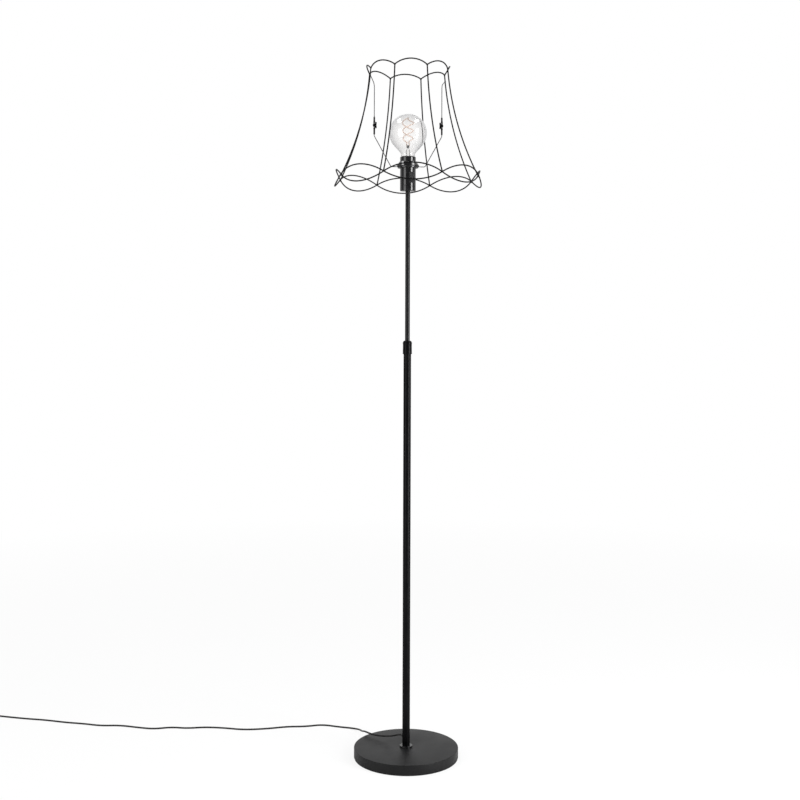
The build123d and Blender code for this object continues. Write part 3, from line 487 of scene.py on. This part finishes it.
finishes = {
    "basePaint": surfaceMaterial("basePaint", {
        "dark": (0.0025, 0.0025, 0.0028), "light": (0.0045, 0.0045, 0.0049), "patchSize": 60,
        "specular": 0.22, "grainSize": 0.9, "grainDepth": 0.12, "bump": 0.7,
        "roughLow": 0.42, "roughHigh": 0.50}),
    "blackPaint": surfaceMaterial("blackPaint", {
        "dark": (0.0010, 0.0010, 0.0012), "light": (0.0022, 0.0022, 0.0025), "patchSize": 25,
        "ior": 1.16, "grainSize": 1.4, "grainDepth": 0.05, "bump": 0.4, "roughLow": 0.28,
        "roughHigh": 0.36}),
    # painted light: the lower tube's black paint made lighter for the upper tube's brighter look
    "mastPaintLit": surfaceMaterial("mastPaintLit", {
        "dark": (0.003, 0.003, 0.0034), "light": (0.006, 0.006, 0.0065), "patchSize": 25,
        "ior": 1.25, "grainSize": 1.4, "grainDepth": 0.05, "bump": 0.4, "roughLow": 0.28,
        "roughHigh": 0.36}),
    "cagePaint": surfaceMaterial("cagePaint", {
        "dark": (0.0010, 0.0010, 0.0012), "light": (0.0024, 0.0024, 0.0027), "patchSize": 12,
        "ior": 1.17, "grainSize": 1.1, "grainDepth": 0.06, "bump": 0.5, "roughLow": 0.38,
        "roughHigh": 0.5}),
    "zincSteel": surfaceMaterial("zincSteel", {
        "dark": (0.42, 0.42, 0.43), "light": (0.60, 0.60, 0.61), "patchSize": 6, "metal": 1,
        "grainSize": 0.5, "grainDepth": 0.02, "roughLow": 0.32, "roughHigh": 0.48}),
    "wireSteel": surfaceMaterial("wireSteel", {
        "dark": (0.035, 0.035, 0.037), "light": (0.07, 0.07, 0.072), "patchSize": 6, "metal": 1,
        "grainSize": 0.5, "grainDepth": 0.01, "roughLow": 0.40, "roughHigh": 0.52}),
    "castConcrete": surfaceMaterial("castConcrete", {
        "dark": (0.23, 0.22, 0.20), "light": (0.36, 0.35, 0.33), "patchSize": 14,
        "grainSize": 1.6, "grainDepth": 0.4, "bump": 0.9, "roughLow": 0.8, "roughHigh": 0.95}),
    "foamRubber": surfaceMaterial("foamRubber", {
        "dark": (0.008, 0.008, 0.008), "light": (0.018, 0.018, 0.018), "patchSize": 5,
        "grainSize": 0.7, "grainDepth": 0.2, "bump": 0.9, "roughLow": 0.85, "roughHigh": 0.95}),
    "blackNylon": surfaceMaterial("blackNylon", {
        "dark": (0.008, 0.008, 0.0085), "light": (0.014, 0.014, 0.0145), "patchSize": 9,
        "grainSize": 0.4, "grainDepth": 0.02, "roughLow": 0.42, "roughHigh": 0.52}),
    "holderBlack": surfaceMaterial("holderBlack", {
        "dark": (0.003, 0.003, 0.0035), "light": (0.006, 0.006, 0.0065), "patchSize": 18,
        "grainSize": 4, "grainDepth": 0.02, "bump": 0.25, "roughLow": 0.10, "roughHigh": 0.16}),
    "switchGrey": surfaceMaterial("switchGrey", {
        "dark": (0.006, 0.006, 0.0065), "light": (0.010, 0.010, 0.011), "patchSize": 6,
        "ior": 1.22, "grainSize": 0.5, "grainDepth": 0.02, "roughLow": 0.5, "roughHigh": 0.6}),
    "cordSheath": surfaceMaterial("cordSheath", {
        "dark": (0.004, 0.0035, 0.004), "light": (0.008, 0.007, 0.0075), "patchSize": 30,
        "specular": 0.28, "grainSize": 1.5, "grainDepth": 0.03, "roughLow": 0.38,
        "roughHigh": 0.5}),
    "porcelain": surfaceMaterial("porcelain", {
        "dark": (0.74, 0.72, 0.67), "light": (0.83, 0.82, 0.78), "patchSize": 8,
        "grainSize": 0.6, "grainDepth": 0.04, "roughLow": 0.45, "roughHigh": 0.6}),
    "contactBrass": surfaceMaterial("contactBrass", {
        "dark": (0.52, 0.34, 0.12), "light": (0.68, 0.47, 0.19), "patchSize": 5, "metal": 1,
        "grainSize": 0.4, "grainDepth": 0.01, "roughLow": 0.24, "roughHigh": 0.36}),
    "nickelBrass": surfaceMaterial("nickelBrass", {
        "dark": (0.50, 0.48, 0.43), "light": (0.64, 0.62, 0.57), "patchSize": 5, "metal": 1,
        "grainSize": 0.4, "grainDepth": 0.01, "roughLow": 0.18, "roughHigh": 0.28}),
    "lampCapAlloy": surfaceMaterial("lampCapAlloy", {
        "dark": (0.62, 0.62, 0.61), "light": (0.74, 0.74, 0.73), "patchSize": 7, "metal": 1,
        "grainSize": 0.5, "grainDepth": 0.01, "roughLow": 0.25, "roughHigh": 0.35}),
    "capGlass": surfaceMaterial("capGlass", {
        "dark": (0.010, 0.010, 0.014), "light": (0.02, 0.02, 0.026), "patchSize": 4,
        "grainSize": 1, "grainDepth": 0.03, "roughLow": 0.08, "roughHigh": 0.15}),
    # the edge colours of the two glasses are painted shade on their rims, darkest on the stem
    "clearGlass": glassMaterial("clearGlass", {
        "color": (0.98, 0.975, 0.97), "edge": (0.56, 0.56, 0.57), "edgeFrom": 0.08,
        "edgeTo": 0.92, "rough": 0.0, "ior": 1.45, "waveSize": 26, "waveDepth": 0.05}),
    "stemGlass": glassMaterial("stemGlass", {
        "color": (0.88, 0.88, 0.88), "edge": (0.10, 0.10, 0.105), "edgeFrom": 0.30,
        "edgeTo": 0.88, "rough": 0.02, "ior": 1.3, "waveSize": 6, "waveDepth": 0.08}),
    "filamentCoat": glowMaterial("filamentCoat", {
        "dark": (0.70, 0.57, 0.51), "light": (0.80, 0.68, 0.61), "patchSize": 3,
        "grainSize": 0.8, "grainDepth": 0.05, "roughLow": 0.4, "roughHigh": 0.55,
        "glow": (1.0, 0.80, 0.70), "glowStrength": 0.15}),
    "pinchMetal": surfaceMaterial("pinchMetal", {
        "dark": (0.10, 0.10, 0.105), "light": (0.17, 0.17, 0.172), "patchSize": 3, "metal": 0.7,
        "grainSize": 0.4, "grainDepth": 0.02, "roughLow": 0.4, "roughHigh": 0.5}),
}

nodeFinish = {
    "base_cover": "basePaint", "base_weight": "castConcrete", "base_pad": "foamRubber",
    "base_washer": "zincSteel", "base_bolt": "zincSteel", "foot_insert": "zincSteel",
    "foot_ring": "holderBlack", "lower_tube": "blackPaint", "cord_grommet": "blackNylon",
    "collar_insert": "blackNylon", "collet": "blackNylon", "clamp_collar": "blackPaint",
    "guide_bush": "blackNylon", "inner_tube": "mastPaintLit", "mast_nipple": "zincSteel",
    "holder_cap": "holderBlack", "holder_shell": "holderBlack", "holder_insert": "porcelain",
    "screw_shell": "contactBrass", "centre_contact": "contactBrass",
    "terminal_screws": "contactBrass", "switch_module": "blackNylon",
    "switch_rocker": "switchGrey", "support_ring": "holderBlack", "shade_ring": "holderBlack",
    "gimbal_ring": "wireSteel", "gimbal_arm_right": "wireSteel", "gimbal_arm_left": "wireSteel",
    "lower_knuckle_right": "cagePaint", "lower_knuckle_left": "cagePaint",
    "upper_knuckle_right": "cagePaint", "upper_knuckle_left": "cagePaint",
    "pivot_screws": "cagePaint", "pivot_nuts": "cagePaint",
    "suspension_wire_right": "wireSteel", "suspension_wire_left": "wireSteel",
    "top_ring": "cagePaint", "wave_wire_outer": "cagePaint", "wave_wire_inner": "cagePaint",
    "bulb_glass": "clearGlass", "bulb_cap": "lampCapAlloy", "bulb_insulator": "capGlass",
    "bulb_contact": "contactBrass", "bulb_stem": "stemGlass", "bulb_filament": "filamentCoat",
    "inner_lead": "cordSheath", "slack_lead": "cordSheath", "cord_free": "cordSheath",
    "cord_coil": "cordSheath", "coil_tie": "blackNylon", "plug_body": "blackNylon",
    "plug_pins": "nickelBrass",
}
for rib in range(1, 9):
    nodeFinish["rib_" + str(rib)] = "cagePaint"

for nodeName, node in nodes.items():
    node.data.materials.clear()
    node.data.materials.append(finishes[nodeFinish[nodeName]])
say("finishes on " + str(len(nodes)) + " nodes")


# cord: the same route as the lead's own, then the coil

cordFacts = {
    "diameter": 4.4,
    "exit": (150, 11.1, 53),        # azimuth, distance from the axis, height
    "straightOut": (150, 20, 53),
    "coilCentreX": -1195,
    "coilMiddleRadius": 26,
    "coilPitch": 4.85,
    "halfTurns": 4,
    "tail": 12,
    "stepsPerHalf": 8,
    "length": 2.095,
}
cordRoute = [
    (-31, 16, 47.5), (-42, 27, 42.5), (-58, 43, 36.8), (-72, 51.5, 35.2), (-86, 61.5, 34.6),
    (-98, 75, 34.3), (-107, 95, 31), (-114, 128, 19.5), (-121, 180, 6), (-143, 202, 2.2),
    (-178, 211, 2.2), (-224, 229, 2.2), (-268, 213, 2.2), (-317, 212, 2.2), (-368, 195, 2.2),
    (-430, 186, 2.2), (-482, 200, 2.2), (-535, 206, 2.2), (-582, 196, 2.2), (-625, 205, 2.2),
    (-668, 190, 2.2), (-712, 201, 2.2), (-765, 218, 2.2), (-815, 214, 2.2), (-862, 229, 2.2),
    (-915, 239, 2.2), (-975, 258, 2.2), (-1030, 268, 2.2), (-1088, 282, 2.5),
    (-1142, 297, 3.0), (-1190.6, 297, 3.0),
]


def coilPoints(facts, start):
    # half turns that shrink by half a pitch, climb a layer, and grow again
    points = []
    stepAngle = pi / facts["stepsPerHalf"]
    spread = 1 / cos(stepAngle / 2)     # the smooth line runs inside its points
    radius = facts["coilMiddleRadius"] + facts["halfTurns"] * facts["coilPitch"] / 4
    x, y, low = facts["coilCentreX"], start[1], start[2]
    high = low + facts["coilPitch"]
    side = -1
    halves = [(low, low, -1)] * facts["halfTurns"] + [(low, high, 0)]
    halves += [(high, high, 1)] * facts["halfTurns"]
    for index, (first, last, growth) in enumerate(halves):
        centreY = y + side * radius
        for step in range(facts["stepsPerHalf"]):
            angle = (step + 0.5) * stepAngle
            height = first + (last - first) * (step + 0.5) / facts["stepsPerHalf"]
            points.append((x + side * radius * spread * sin(angle),
                           centreY - side * radius * spread * cos(angle), height))
        y = y + side * 2 * radius
        side = -side
        radius += (growth or 1) * facts["coilPitch"] / 2
    points.append((x + facts["tail"], y, high))
    return points


def layCord(facts, route):
    line = [tuple(around(*facts["exit"]) / mm), tuple(around(*facts["straightOut"]) / mm)]
    line += route + coilPoints(facts, route[-1])
    cord = drawTube(line, facts["diameter"], 3, 6, 5)
    cord.name = "mainsCord"
    cord.data.materials.append(finishes["cordSheath"])
    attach(cord, "stand")
    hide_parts("cord_free", "cord_coil")


reliefRibs = {
    "from": 3,              # along the strain relief, from where the cord enters it
    "step": 3,
    "count": 5,
    "reliefLength": 20,
    "thin": 3.2,
    "wide": 4.6,
    "bead": 0.55,
}


def ringRelief(facts, entry):
    ribs = []
    for index in range(facts["count"]):
        along = facts["from"] + facts["step"] * index
        share = along / facts["reliefLength"]
        radius = facts["thin"] + (facts["wide"] - facts["thin"]) * share
        dropSelection()
        bpy.ops.mesh.primitive_torus_add(
            major_radius=radius * mm, minor_radius=facts["bead"] * mm, major_segments=40,
            minor_segments=10, rotation=(0, radians(90), 0),
            location=((entry[0] + along) * mm, entry[1] * mm, entry[2] * mm))
        ribs.append(bpy.context.active_object)
    return joinPieces(ribs, "plugReliefRibs")


cordEntry = coilPoints(cordFacts, cordRoute[-1])[-1]
plugRibs = ringRelief(reliefRibs, cordEntry)
finishPiece(plugRibs, "plugReliefRibs", "stand", finishes["blackNylon"], smooth=60)
layCord(cordFacts, cordRoute)
say("cord and coil")


# bulb

bulbGlass = {
    "globe": 47.5,
    "centre": 1559.3,
    "neck": 17.8,
    "neckTop": 1508,
    "neckFoot": 1503,
    "throat": 12.2,
    "capTop": 1495.5,
    "foot": 1488,
    "wall": 1.0,
    "arcSteps": 30,
}


def globeOutline(glass, inset):
    globe = glass["globe"] - inset
    neck = glass["neck"] - inset
    throat = glass["throat"] - inset
    drop = glass["centre"] - glass["neckTop"]
    touch = atan(neck / drop) + acos(globe / hypot(neck, drop))
    shoulder = (globe * sin(touch), glass["centre"] - globe * cos(touch))
    outline = softOutline([(throat, glass["foot"]), (throat, glass["capTop"], 2),
                           (neck, glass["neckFoot"], 3), (neck, glass["neckTop"], 9), shoulder])
    for step in range(1, glass["arcSteps"] + 1):
        angle = touch + (pi - touch) * step / glass["arcSteps"]
        outline.append((globe * sin(angle), glass["centre"] - globe * cos(angle)))
    return outline


def blowBulb(glass):
    # the outer skin up to the crown, then the inner one back down to the foot
    outer = globeOutline(glass, 0)
    inner = globeOutline(glass, glass["wall"])
    bulb = turnPiece(outer + inner[::-1] + [outer[0]], 128)
    openForEdit(bulb)
    bpy.ops.mesh.delete_loose()
    bpy.ops.object.mode_set(mode="OBJECT")
    return bulb


bulb = blowBulb(bulbGlass)
finishPiece(bulb, "bulbShell", "bulb", finishes["clearGlass"],
            ("bulb_glass",), smooth=60)

stemFacts = {
    "flare": 11.1,
    "foot": 1488,
    "flareEdge": 1.2,
    "flareRise": 9,         # from the foot to where the flare has drawn in
    "waist": 6.3,
    "shoulder": 1512,
    "pinch": 1520.5,
    "pinchRadius": 3.1,
    "pressed": (1.1, 0.95, 1),
    "tip": 1529,
    "leadRadius": 0.5,
    "leadOff": 3,
    "leadFrom": 1490,
    "leadTo": 1533,
    "clip": (2.3, 1521.5, 1528.4),      # radius, foot and top of the clip that holds the leads
}


def drawStem(facts):
    # flare, tube and pressed tip
    outline = softOutline([
        (0, facts["foot"]), (facts["flare"], facts["foot"], 0.4),
        (facts["flare"], facts["foot"] + facts["flareEdge"], 0.5),
        (facts["waist"], facts["foot"] + facts["flareRise"], 6),
        (facts["waist"], facts["shoulder"], 4), (facts["pinchRadius"], facts["pinch"], 3),
        (facts["pinchRadius"], facts["tip"], 1.2), (0, facts["tip"])])
    stem = turnPiece(outline, 48)
    # pressed flat where the leads go through
    openForEdit(stem)
    pickFaces(stem, lambda middle, normal: middle.z > facts["pinch"] * mm)
    bpy.ops.transform.resize(value=facts["pressed"], center_override=(0, 0, facts["pinch"] * mm))
    bpy.ops.object.mode_set(mode="OBJECT")
    return stem


def drawLeads(facts):
    # two wires up through the stem, and the clip on them
    leads = []
    for side in (-1, 1):
        dropSelection()
        tall = facts["leadTo"] - facts["leadFrom"]
        middle = (side * facts["leadOff"] * mm, 0, (facts["leadFrom"] + tall / 2) * mm)
        bpy.ops.mesh.primitive_cylinder_add(vertices=12, radius=facts["leadRadius"] * mm,
                                            depth=tall * mm, location=middle)
        leads.append(bpy.context.active_object)
    radius, foot, top = facts["clip"]
    leads.append(turnPiece(softOutline([(0, foot), (radius, foot, 0.5), (radius, top, 0.8),
                                        (0, top)]), 32))
    return joinPieces(leads, "filamentLeads")


stem = drawStem(stemFacts)
finishPiece(stem, "stemPress", "bulb", finishes["stemGlass"],
            ("bulb_stem",), smooth=50)
leads = drawLeads(stemFacts)
finishPiece(leads, "filamentLeads", "bulb", finishes["pinchMetal"])

spiralFacts = {
    "low": 1536,
    "high": 1594,
    "apex": 1598.5,
    "lowReach": 12.4,
    "highReach": 15.2,
    "firstShare": 0.75,     # of its reach, where a strand starts to wind
    "halfTurns": 3,
    "stepsPerHalf": 6,
    "diameter": 3.0,
    "rootOff": 3,
    "rootHeight": 1528,
    "leave": (30, 2, 3),    # degrees back, outwards and up from the root
}


def spiralStrand(facts, half):
    # one strand of the double spiral, it crosses the other one where both face the camera
    back, out, rise = facts["leave"]
    points = [tuple(around(half, facts["rootOff"], facts["rootHeight"]) / mm),
              tuple(around(half - back, facts["rootOff"] + out, facts["rootHeight"] + rise) / mm)]
    count = facts["halfTurns"] * facts["stepsPerHalf"]
    for step in range(count + 1):
        share = step / count
        reach = facts["lowReach"] + (facts["highReach"] - facts["lowReach"]) * share
        if step == 0:
            reach *= facts["firstShare"]
        height = facts["low"] + (facts["high"] - facts["low"]) * share
        azimuth = half - 90 + share * facts["halfTurns"] * 180
        points.append(tuple(around(azimuth, reach, height) / mm))
    return points


def bendFilament(facts):
    upwards = spiralStrand(facts, 0)
    downwards = spiralStrand(facts, 180)
    line = upwards + [(0, 0, facts["apex"])] + downwards[::-1]
    drawTube(line, facts["diameter"], 4, 8, 4)
    bpy.ops.object.convert(target="MESH")
    return bpy.context.active_object


strip = bendFilament(spiralFacts)
finishPiece(strip, "filamentSpiral", "bulb", finishes["filamentCoat"],
            ("bulb_filament",), smooth=60)
say("bulb")


# welds

weldFacts = {               # places are distance from the axis and height
    "firstRib": 26.2,
    "top": (103, 1712.6),
    "wave": (182, 1445.5),
    "wire": (104.66, 1696.1),
    "washer": (27.6, 1475.1),
    "washerAzimuth": 3.7,
    "topBead": (2.0, 3.1, 2.0),
    "waveBead": (3.0, 2.4, 2.6),
    "wireBead": (1.9, 2.3, 3.4),
    "washerBead": (2.6, 1.7, 1.0),
}


def dropBead(azimuth, radius, height, size):
    # a run of weld metal, its size is outwards, along the ring and up
    dropSelection()
    bpy.ops.mesh.primitive_uv_sphere_add(segments=20, ring_count=12, radius=mm,
                                         location=around(azimuth, radius, height))
    bead = bpy.context.active_object
    bead.scale = size
    bead.rotation_euler = (0, 0, radians(azimuth))
    return bead


def weldCage(facts):
    beads = []
    for rib in range(8):
        azimuth = facts["firstRib"] + 45 * rib
        beads.append(dropBead(azimuth, *facts["top"], facts["topBead"]))
        beads.append(dropBead(azimuth, *facts["wave"], facts["waveBead"]))
    for azimuth in (facts["firstRib"], facts["firstRib"] + 180):
        beads.append(dropBead(azimuth, *facts["wire"], facts["wireBead"]))
    return joinPieces(beads, "cageWelds")


def weldWasher(facts):
    beads = [dropBead(facts["washerAzimuth"] + turn, *facts["washer"], facts["washerBead"])
             for turn in (0, 180)]
    return joinPieces(beads, "washerWelds")


cageWelds = weldCage(weldFacts)
finishPiece(cageWelds, "cageWelds", "cage", finishes["cagePaint"], smooth=60)
washerWelds = weldWasher(weldFacts)
finishPiece(washerWelds, "washerWelds", "mast", finishes["zincSteel"], smooth=60)
say("welds")


# knuckles, built facing right and turned into place

knuckleFacts = {
    "azimuth": 3.7,
    "axis": 84.6,
    "height": 1578,
    "rod": 2.1,
    "rodTop": 1598.5,
    "rodFoot": 1555,
    "plate": 2.15,
    "play": 0.3,
    "eye": 5,
    "tongueReach": 10.5,
    "tongueWidth": 5.4,
    "fork": 5.7,            # from here on the tongue is as thick as both plates
    "head": 2.8,
    "headThick": 1.3,
    "slotFloor": 0.6,       # off the plate
    "slotWidth": 0.7,
    "wingReach": 7.9,
    "wingRoot": 1.5,
    "wingFrom": 0.1,        # off the plate
    "wingTo": 3.7,
    "wingWidth": 2.6,
    "wingTaper": (0.96, 0.8, 1),
    "hub": 3.3,
    "hubLength": 3.2,
}


def placeBox(low, high, bevel):
    # a box between two corners in millimetres
    dropSelection()
    middle = [(a + b) / 2 * mm for a, b in zip(low, high)]
    bpy.ops.mesh.primitive_cube_add(size=1, location=middle)
    box = bpy.context.active_object
    box.scale = [(b - a) * mm for a, b in zip(low, high)]
    bpy.ops.object.transform_apply(location=True, rotation=True, scale=True)
    if bevel:
        applyModifier(box, "BEVEL", width=bevel * mm, segments=3, limit_method="NONE")
    return box


def placeBar(start, end, radius, bevel=0.0, sides=32):
    # a round bar between two points in millimetres
    dropSelection()
    first, last = Vector(start) * mm, Vector(end) * mm
    turn = (last - first).to_track_quat("Z", "Y").to_euler()
    bpy.ops.mesh.primitive_cylinder_add(vertices=sides, radius=radius * mm,
                                        depth=(last - first).length,
                                        location=(first + last) / 2, rotation=turn)
    bar = bpy.context.active_object
    bpy.ops.object.transform_apply(location=True, rotation=True, scale=True)
    if bevel:
        applyModifier(bar, "BEVEL", width=bevel * mm, segments=3, limit_method="ANGLE",
                      angle_limit=radians(60))
    return bar


def buildHalf(facts, side):
    # side 1 is the upper half with the outer plate, -1 the lower half with the inner one
    x, z = facts["axis"], facts["height"]
    near = x + side * facts["play"] / 2
    far = near + side * facts["plate"]
    low, high = min(near, far), max(near, far)
    wide = facts["tongueWidth"] / 2
    outer = facts["play"] / 2 + facts["plate"]
    reach, fork = z + side * facts["tongueReach"], z + side * facts["fork"]
    rodEnd = facts["rodTop"] if side > 0 else facts["rodFoot"]
    parts = [
        placeBar((low, 0, z), (high, 0, z), facts["eye"], 0.35, 40),
        placeBox((low, -wide, min(z, reach)), (high, wide, max(z, reach)), 0.3),
        placeBox((x - outer, -wide, min(fork, reach)), (x + outer, wide, max(fork, reach)), 0.7),
        placeBar((x, 0, reach - side), (x, 0, rodEnd), facts["rod"], 0.4, 28),
    ]
    return joinPieces(parts, "knuckleHalf")


def buildPin(facts):
    # rounded head with a slot outside, wing nut inside
    x, z = facts["axis"], facts["height"]
    outer = x + facts["play"] / 2 + facts["plate"]
    inner = x - facts["play"] / 2 - facts["plate"]
    head = placeBar((outer, 0, z), (outer + facts["headThick"], 0, z), facts["head"], 0.55, 40)
    floor, beyond = outer + facts["slotFloor"], outer + 2 * facts["headThick"]
    halfSlot, across = facts["slotWidth"] / 2, facts["head"] + 1
    slot = placeBox((floor, -across, z - halfSlot), (beyond, across, z + halfSlot), 0)
    applyModifier(head, "BOOLEAN", operation="DIFFERENCE", object=slot, solver="EXACT")
    pickOnly(slot)
    bpy.ops.object.delete()
    nut = placeBar((inner - facts["hubLength"], 0, z), (inner, 0, z), facts["hub"], 0.5, 40)
    near, far = inner - facts["wingFrom"], inner - facts["wingTo"]
    wings = []
    for way in (-1, 1):
        tip = z + way * facts["wingReach"]
        root = z + way * facts["wingRoot"]
        wing = placeBox((far, -facts["wingWidth"] / 2, min(root, tip)),
                        (near, facts["wingWidth"] / 2, max(root, tip)), 0.9)
        openForEdit(wing)
        pickFaces(wing, lambda middle, normal: abs(middle.z / mm - tip) < facts["wingRoot"])
        bpy.ops.transform.resize(value=facts["wingTaper"],
                                 center_override=(far * mm, 0, tip * mm))
        bpy.ops.object.mode_set(mode="OBJECT")
        wings.append(wing)
    return joinPieces([head, nut] + wings, "knucklePin")


def turnAbout(piece, azimuth):
    # the piece's own place is in its mesh, so it turns about the lamp's axis
    pickOnly(piece)
    piece.rotation_euler = (0, 0, radians(azimuth))
    bpy.ops.object.transform_apply(location=True, rotation=True, scale=True)
    return piece


def buildKnuckles(facts):
    for side, name, body in ((1, "upper", "cage"), (-1, "lower", "mast")):
        master = buildHalf(facts, side)
        for hand, azimuth in (("Right", facts["azimuth"]), ("Left", facts["azimuth"] + 180)):
            half = turnAbout(copyPiece(master), azimuth)
            finishPiece(half, name + "Knuckle" + hand, body,
                        finishes["cagePaint"], (name + "_knuckle_" + hand.lower(),))
        pickOnly(master)
        bpy.ops.object.delete()
    pin = buildPin(facts)
    pins = [turnAbout(copyPiece(pin), facts["azimuth"] + turn) for turn in (0, 180)]
    pickOnly(pin)
    bpy.ops.object.delete()
    both = joinPieces(pins, "knucklePins")
    finishPiece(both, "knucklePins", "cage", finishes["cagePaint"],
                ("pivot_screws", "pivot_nuts"))


buildKnuckles(knuckleFacts)
say("knuckles")


# shade ring: a threaded collar inside a flaring skirt with a soft rim

shadeRingFacts = {
    "bore": 19.82,
    "foot": 1475.5,
    "collarFoot": 22.3,
    "collarRoot": 22.4,
    "grooveEnd": 22.8,
    "grooveTop": 1483.2,
    "rimHeight": 1476.2,
    "rimInside": 27.7,
    "rim": 29.2,
    "shoulder": 21.3,
    "top": 1487.3,
}


def turnShadeRing(facts):
    return turnPiece(softOutline([
        (facts["bore"], facts["foot"]), (facts["collarFoot"], facts["foot"], 0.15),
        (facts["collarRoot"], facts["grooveTop"], 0.1),
        (facts["grooveEnd"], facts["grooveTop"], 0.1),
        (facts["rimInside"], facts["rimHeight"], 0.2), (facts["rim"], facts["rimHeight"], 0.45),
        (facts["shoulder"], facts["top"], 0.4), (facts["bore"], facts["top"], 0.2),
        (facts["bore"], facts["foot"])]), 120)


shadeRing = turnShadeRing(shadeRingFacts)
finishPiece(shadeRing, "shadeRing", "shade_ring", finishes["holderBlack"],
            ("shade_ring",), smooth=40)
say("shade ring")


# base cover: a pressed bowl with a step at its rim

coverFacts = {
    "hole": 5.3,
    "radius": 130,
    "inside": 128.5,
    "ceiling": 24.5,
    "top": 26,
    "foot": 0.6,
    "stepRadius": 129.3,
    "stepFrom": 1.5,
    "stepTo": 2.3,
}


def pressCover(facts):
    return turnPiece(softOutline([
        (facts["hole"], facts["ceiling"]), (facts["inside"], facts["ceiling"], 0.4),
        (facts["inside"], facts["foot"]), (facts["stepRadius"], facts["foot"]),
        (facts["stepRadius"], facts["stepFrom"], 0.2), (facts["radius"], facts["stepTo"], 0.3),
        (facts["radius"], facts["top"], 0.9), (facts["hole"], facts["top"], 0.2),
        (facts["hole"], facts["ceiling"])]), 192)


baseCover = pressCover(coverFacts)
finishPiece(baseCover, "baseCover", "stand", finishes["basePaint"],
            ("base_cover",), smooth=30)
say("base cover")


# lower half of the lampholder and the frame round its switch

capFacts = {
    "azimuth": -62,
    "foot": 1414,
    "top": 1466,
    "radius": 19.75,
    "bore": 17.75,
    "shelf": 1417.5,
    "hole": 5.05,
    "switchHeight": 1447,
    "window": (11.6, 20.4),
    "windowFrom": 12,
    "windowTo": 24,
    "frame": (16, 27),
    "frameBack": 14,
    "frameFace": 20.6,
    "frameSeat": 0.05,      # the frame reaches this far into the body
    "frameCorner": 2,
    "frameEdge": 0.45,
    "pivot": (18.6, 7.1, 1.07),     # distance from the axis, half length, radius
}


def turnCap(facts):
    # a cup with a hole for the mast
    return turnPiece(softOutline([
        (facts["hole"], facts["foot"]), (facts["radius"], facts["foot"], 1.0),
        (facts["radius"], facts["top"], 0.25), (facts["bore"], facts["top"]),
        (facts["bore"], facts["shelf"]), (facts["hole"], facts["shelf"]),
        (facts["hole"], facts["foot"])]), 128)


def buildFrame(facts):
    # a block with soft corners, hollowed to sit on the round body
    wide, tall = (size / 2 for size in facts["frame"])
    middle, face = facts["switchHeight"], facts["frameFace"]
    frame = placeBox((facts["frameBack"], -wide, middle - tall), (face, wide, middle + tall), 0)
    openForEdit(frame)
    pickEdges(frame, lambda a, b: abs(a.x - b.x) > 1 * mm)
    bpy.ops.mesh.bevel(offset=facts["frameCorner"] * mm, segments=5)
    pickEdges(frame, lambda a, b: min(a.x, b.x) > (face - 0.1) * mm)
    bpy.ops.mesh.bevel(offset=facts["frameEdge"] * mm, segments=3)
    bpy.ops.object.mode_set(mode="OBJECT")
    core = placeBar((0, 0, middle - 30), (0, 0, middle + 30),
                    facts["radius"] - facts["frameSeat"], 0, 128)
    applyModifier(frame, "BOOLEAN", operation="DIFFERENCE", object=core, solver="EXACT")
    pickOnly(core)
    bpy.ops.object.delete()
    return frame


def cutWindow(piece, facts):
    # room for the rocker and its stubs
    wide, tall = (size / 2 for size in facts["window"])
    away, reach, radius = facts["pivot"]
    middle = facts["switchHeight"]
    window = placeBox((facts["windowFrom"], -wide, middle - tall),
                      (facts["windowTo"], wide, middle + tall), 0)
    pivot = placeBar((away, -reach, middle), (away, reach, middle), radius)
    for cutter in (window, pivot):
        applyModifier(piece, "BOOLEAN", operation="DIFFERENCE", object=cutter, solver="EXACT")
        pickOnly(cutter)
        bpy.ops.object.delete()


capBody = turnCap(capFacts)
switchFrame = buildFrame(capFacts)
for part in (capBody, switchFrame):
    cutWindow(part, capFacts)
    turnAbout(part, capFacts["azimuth"])
finishPiece(capBody, "holderCapBody", "mast", finishes["holderBlack"],
            ("holder_cap",), smooth=30)
finishPiece(switchFrame, "switchFrame", "mast", finishes["switchGrey"],
            ("holder_cap",), smooth=30)
say("lampholder cap and switch frame")
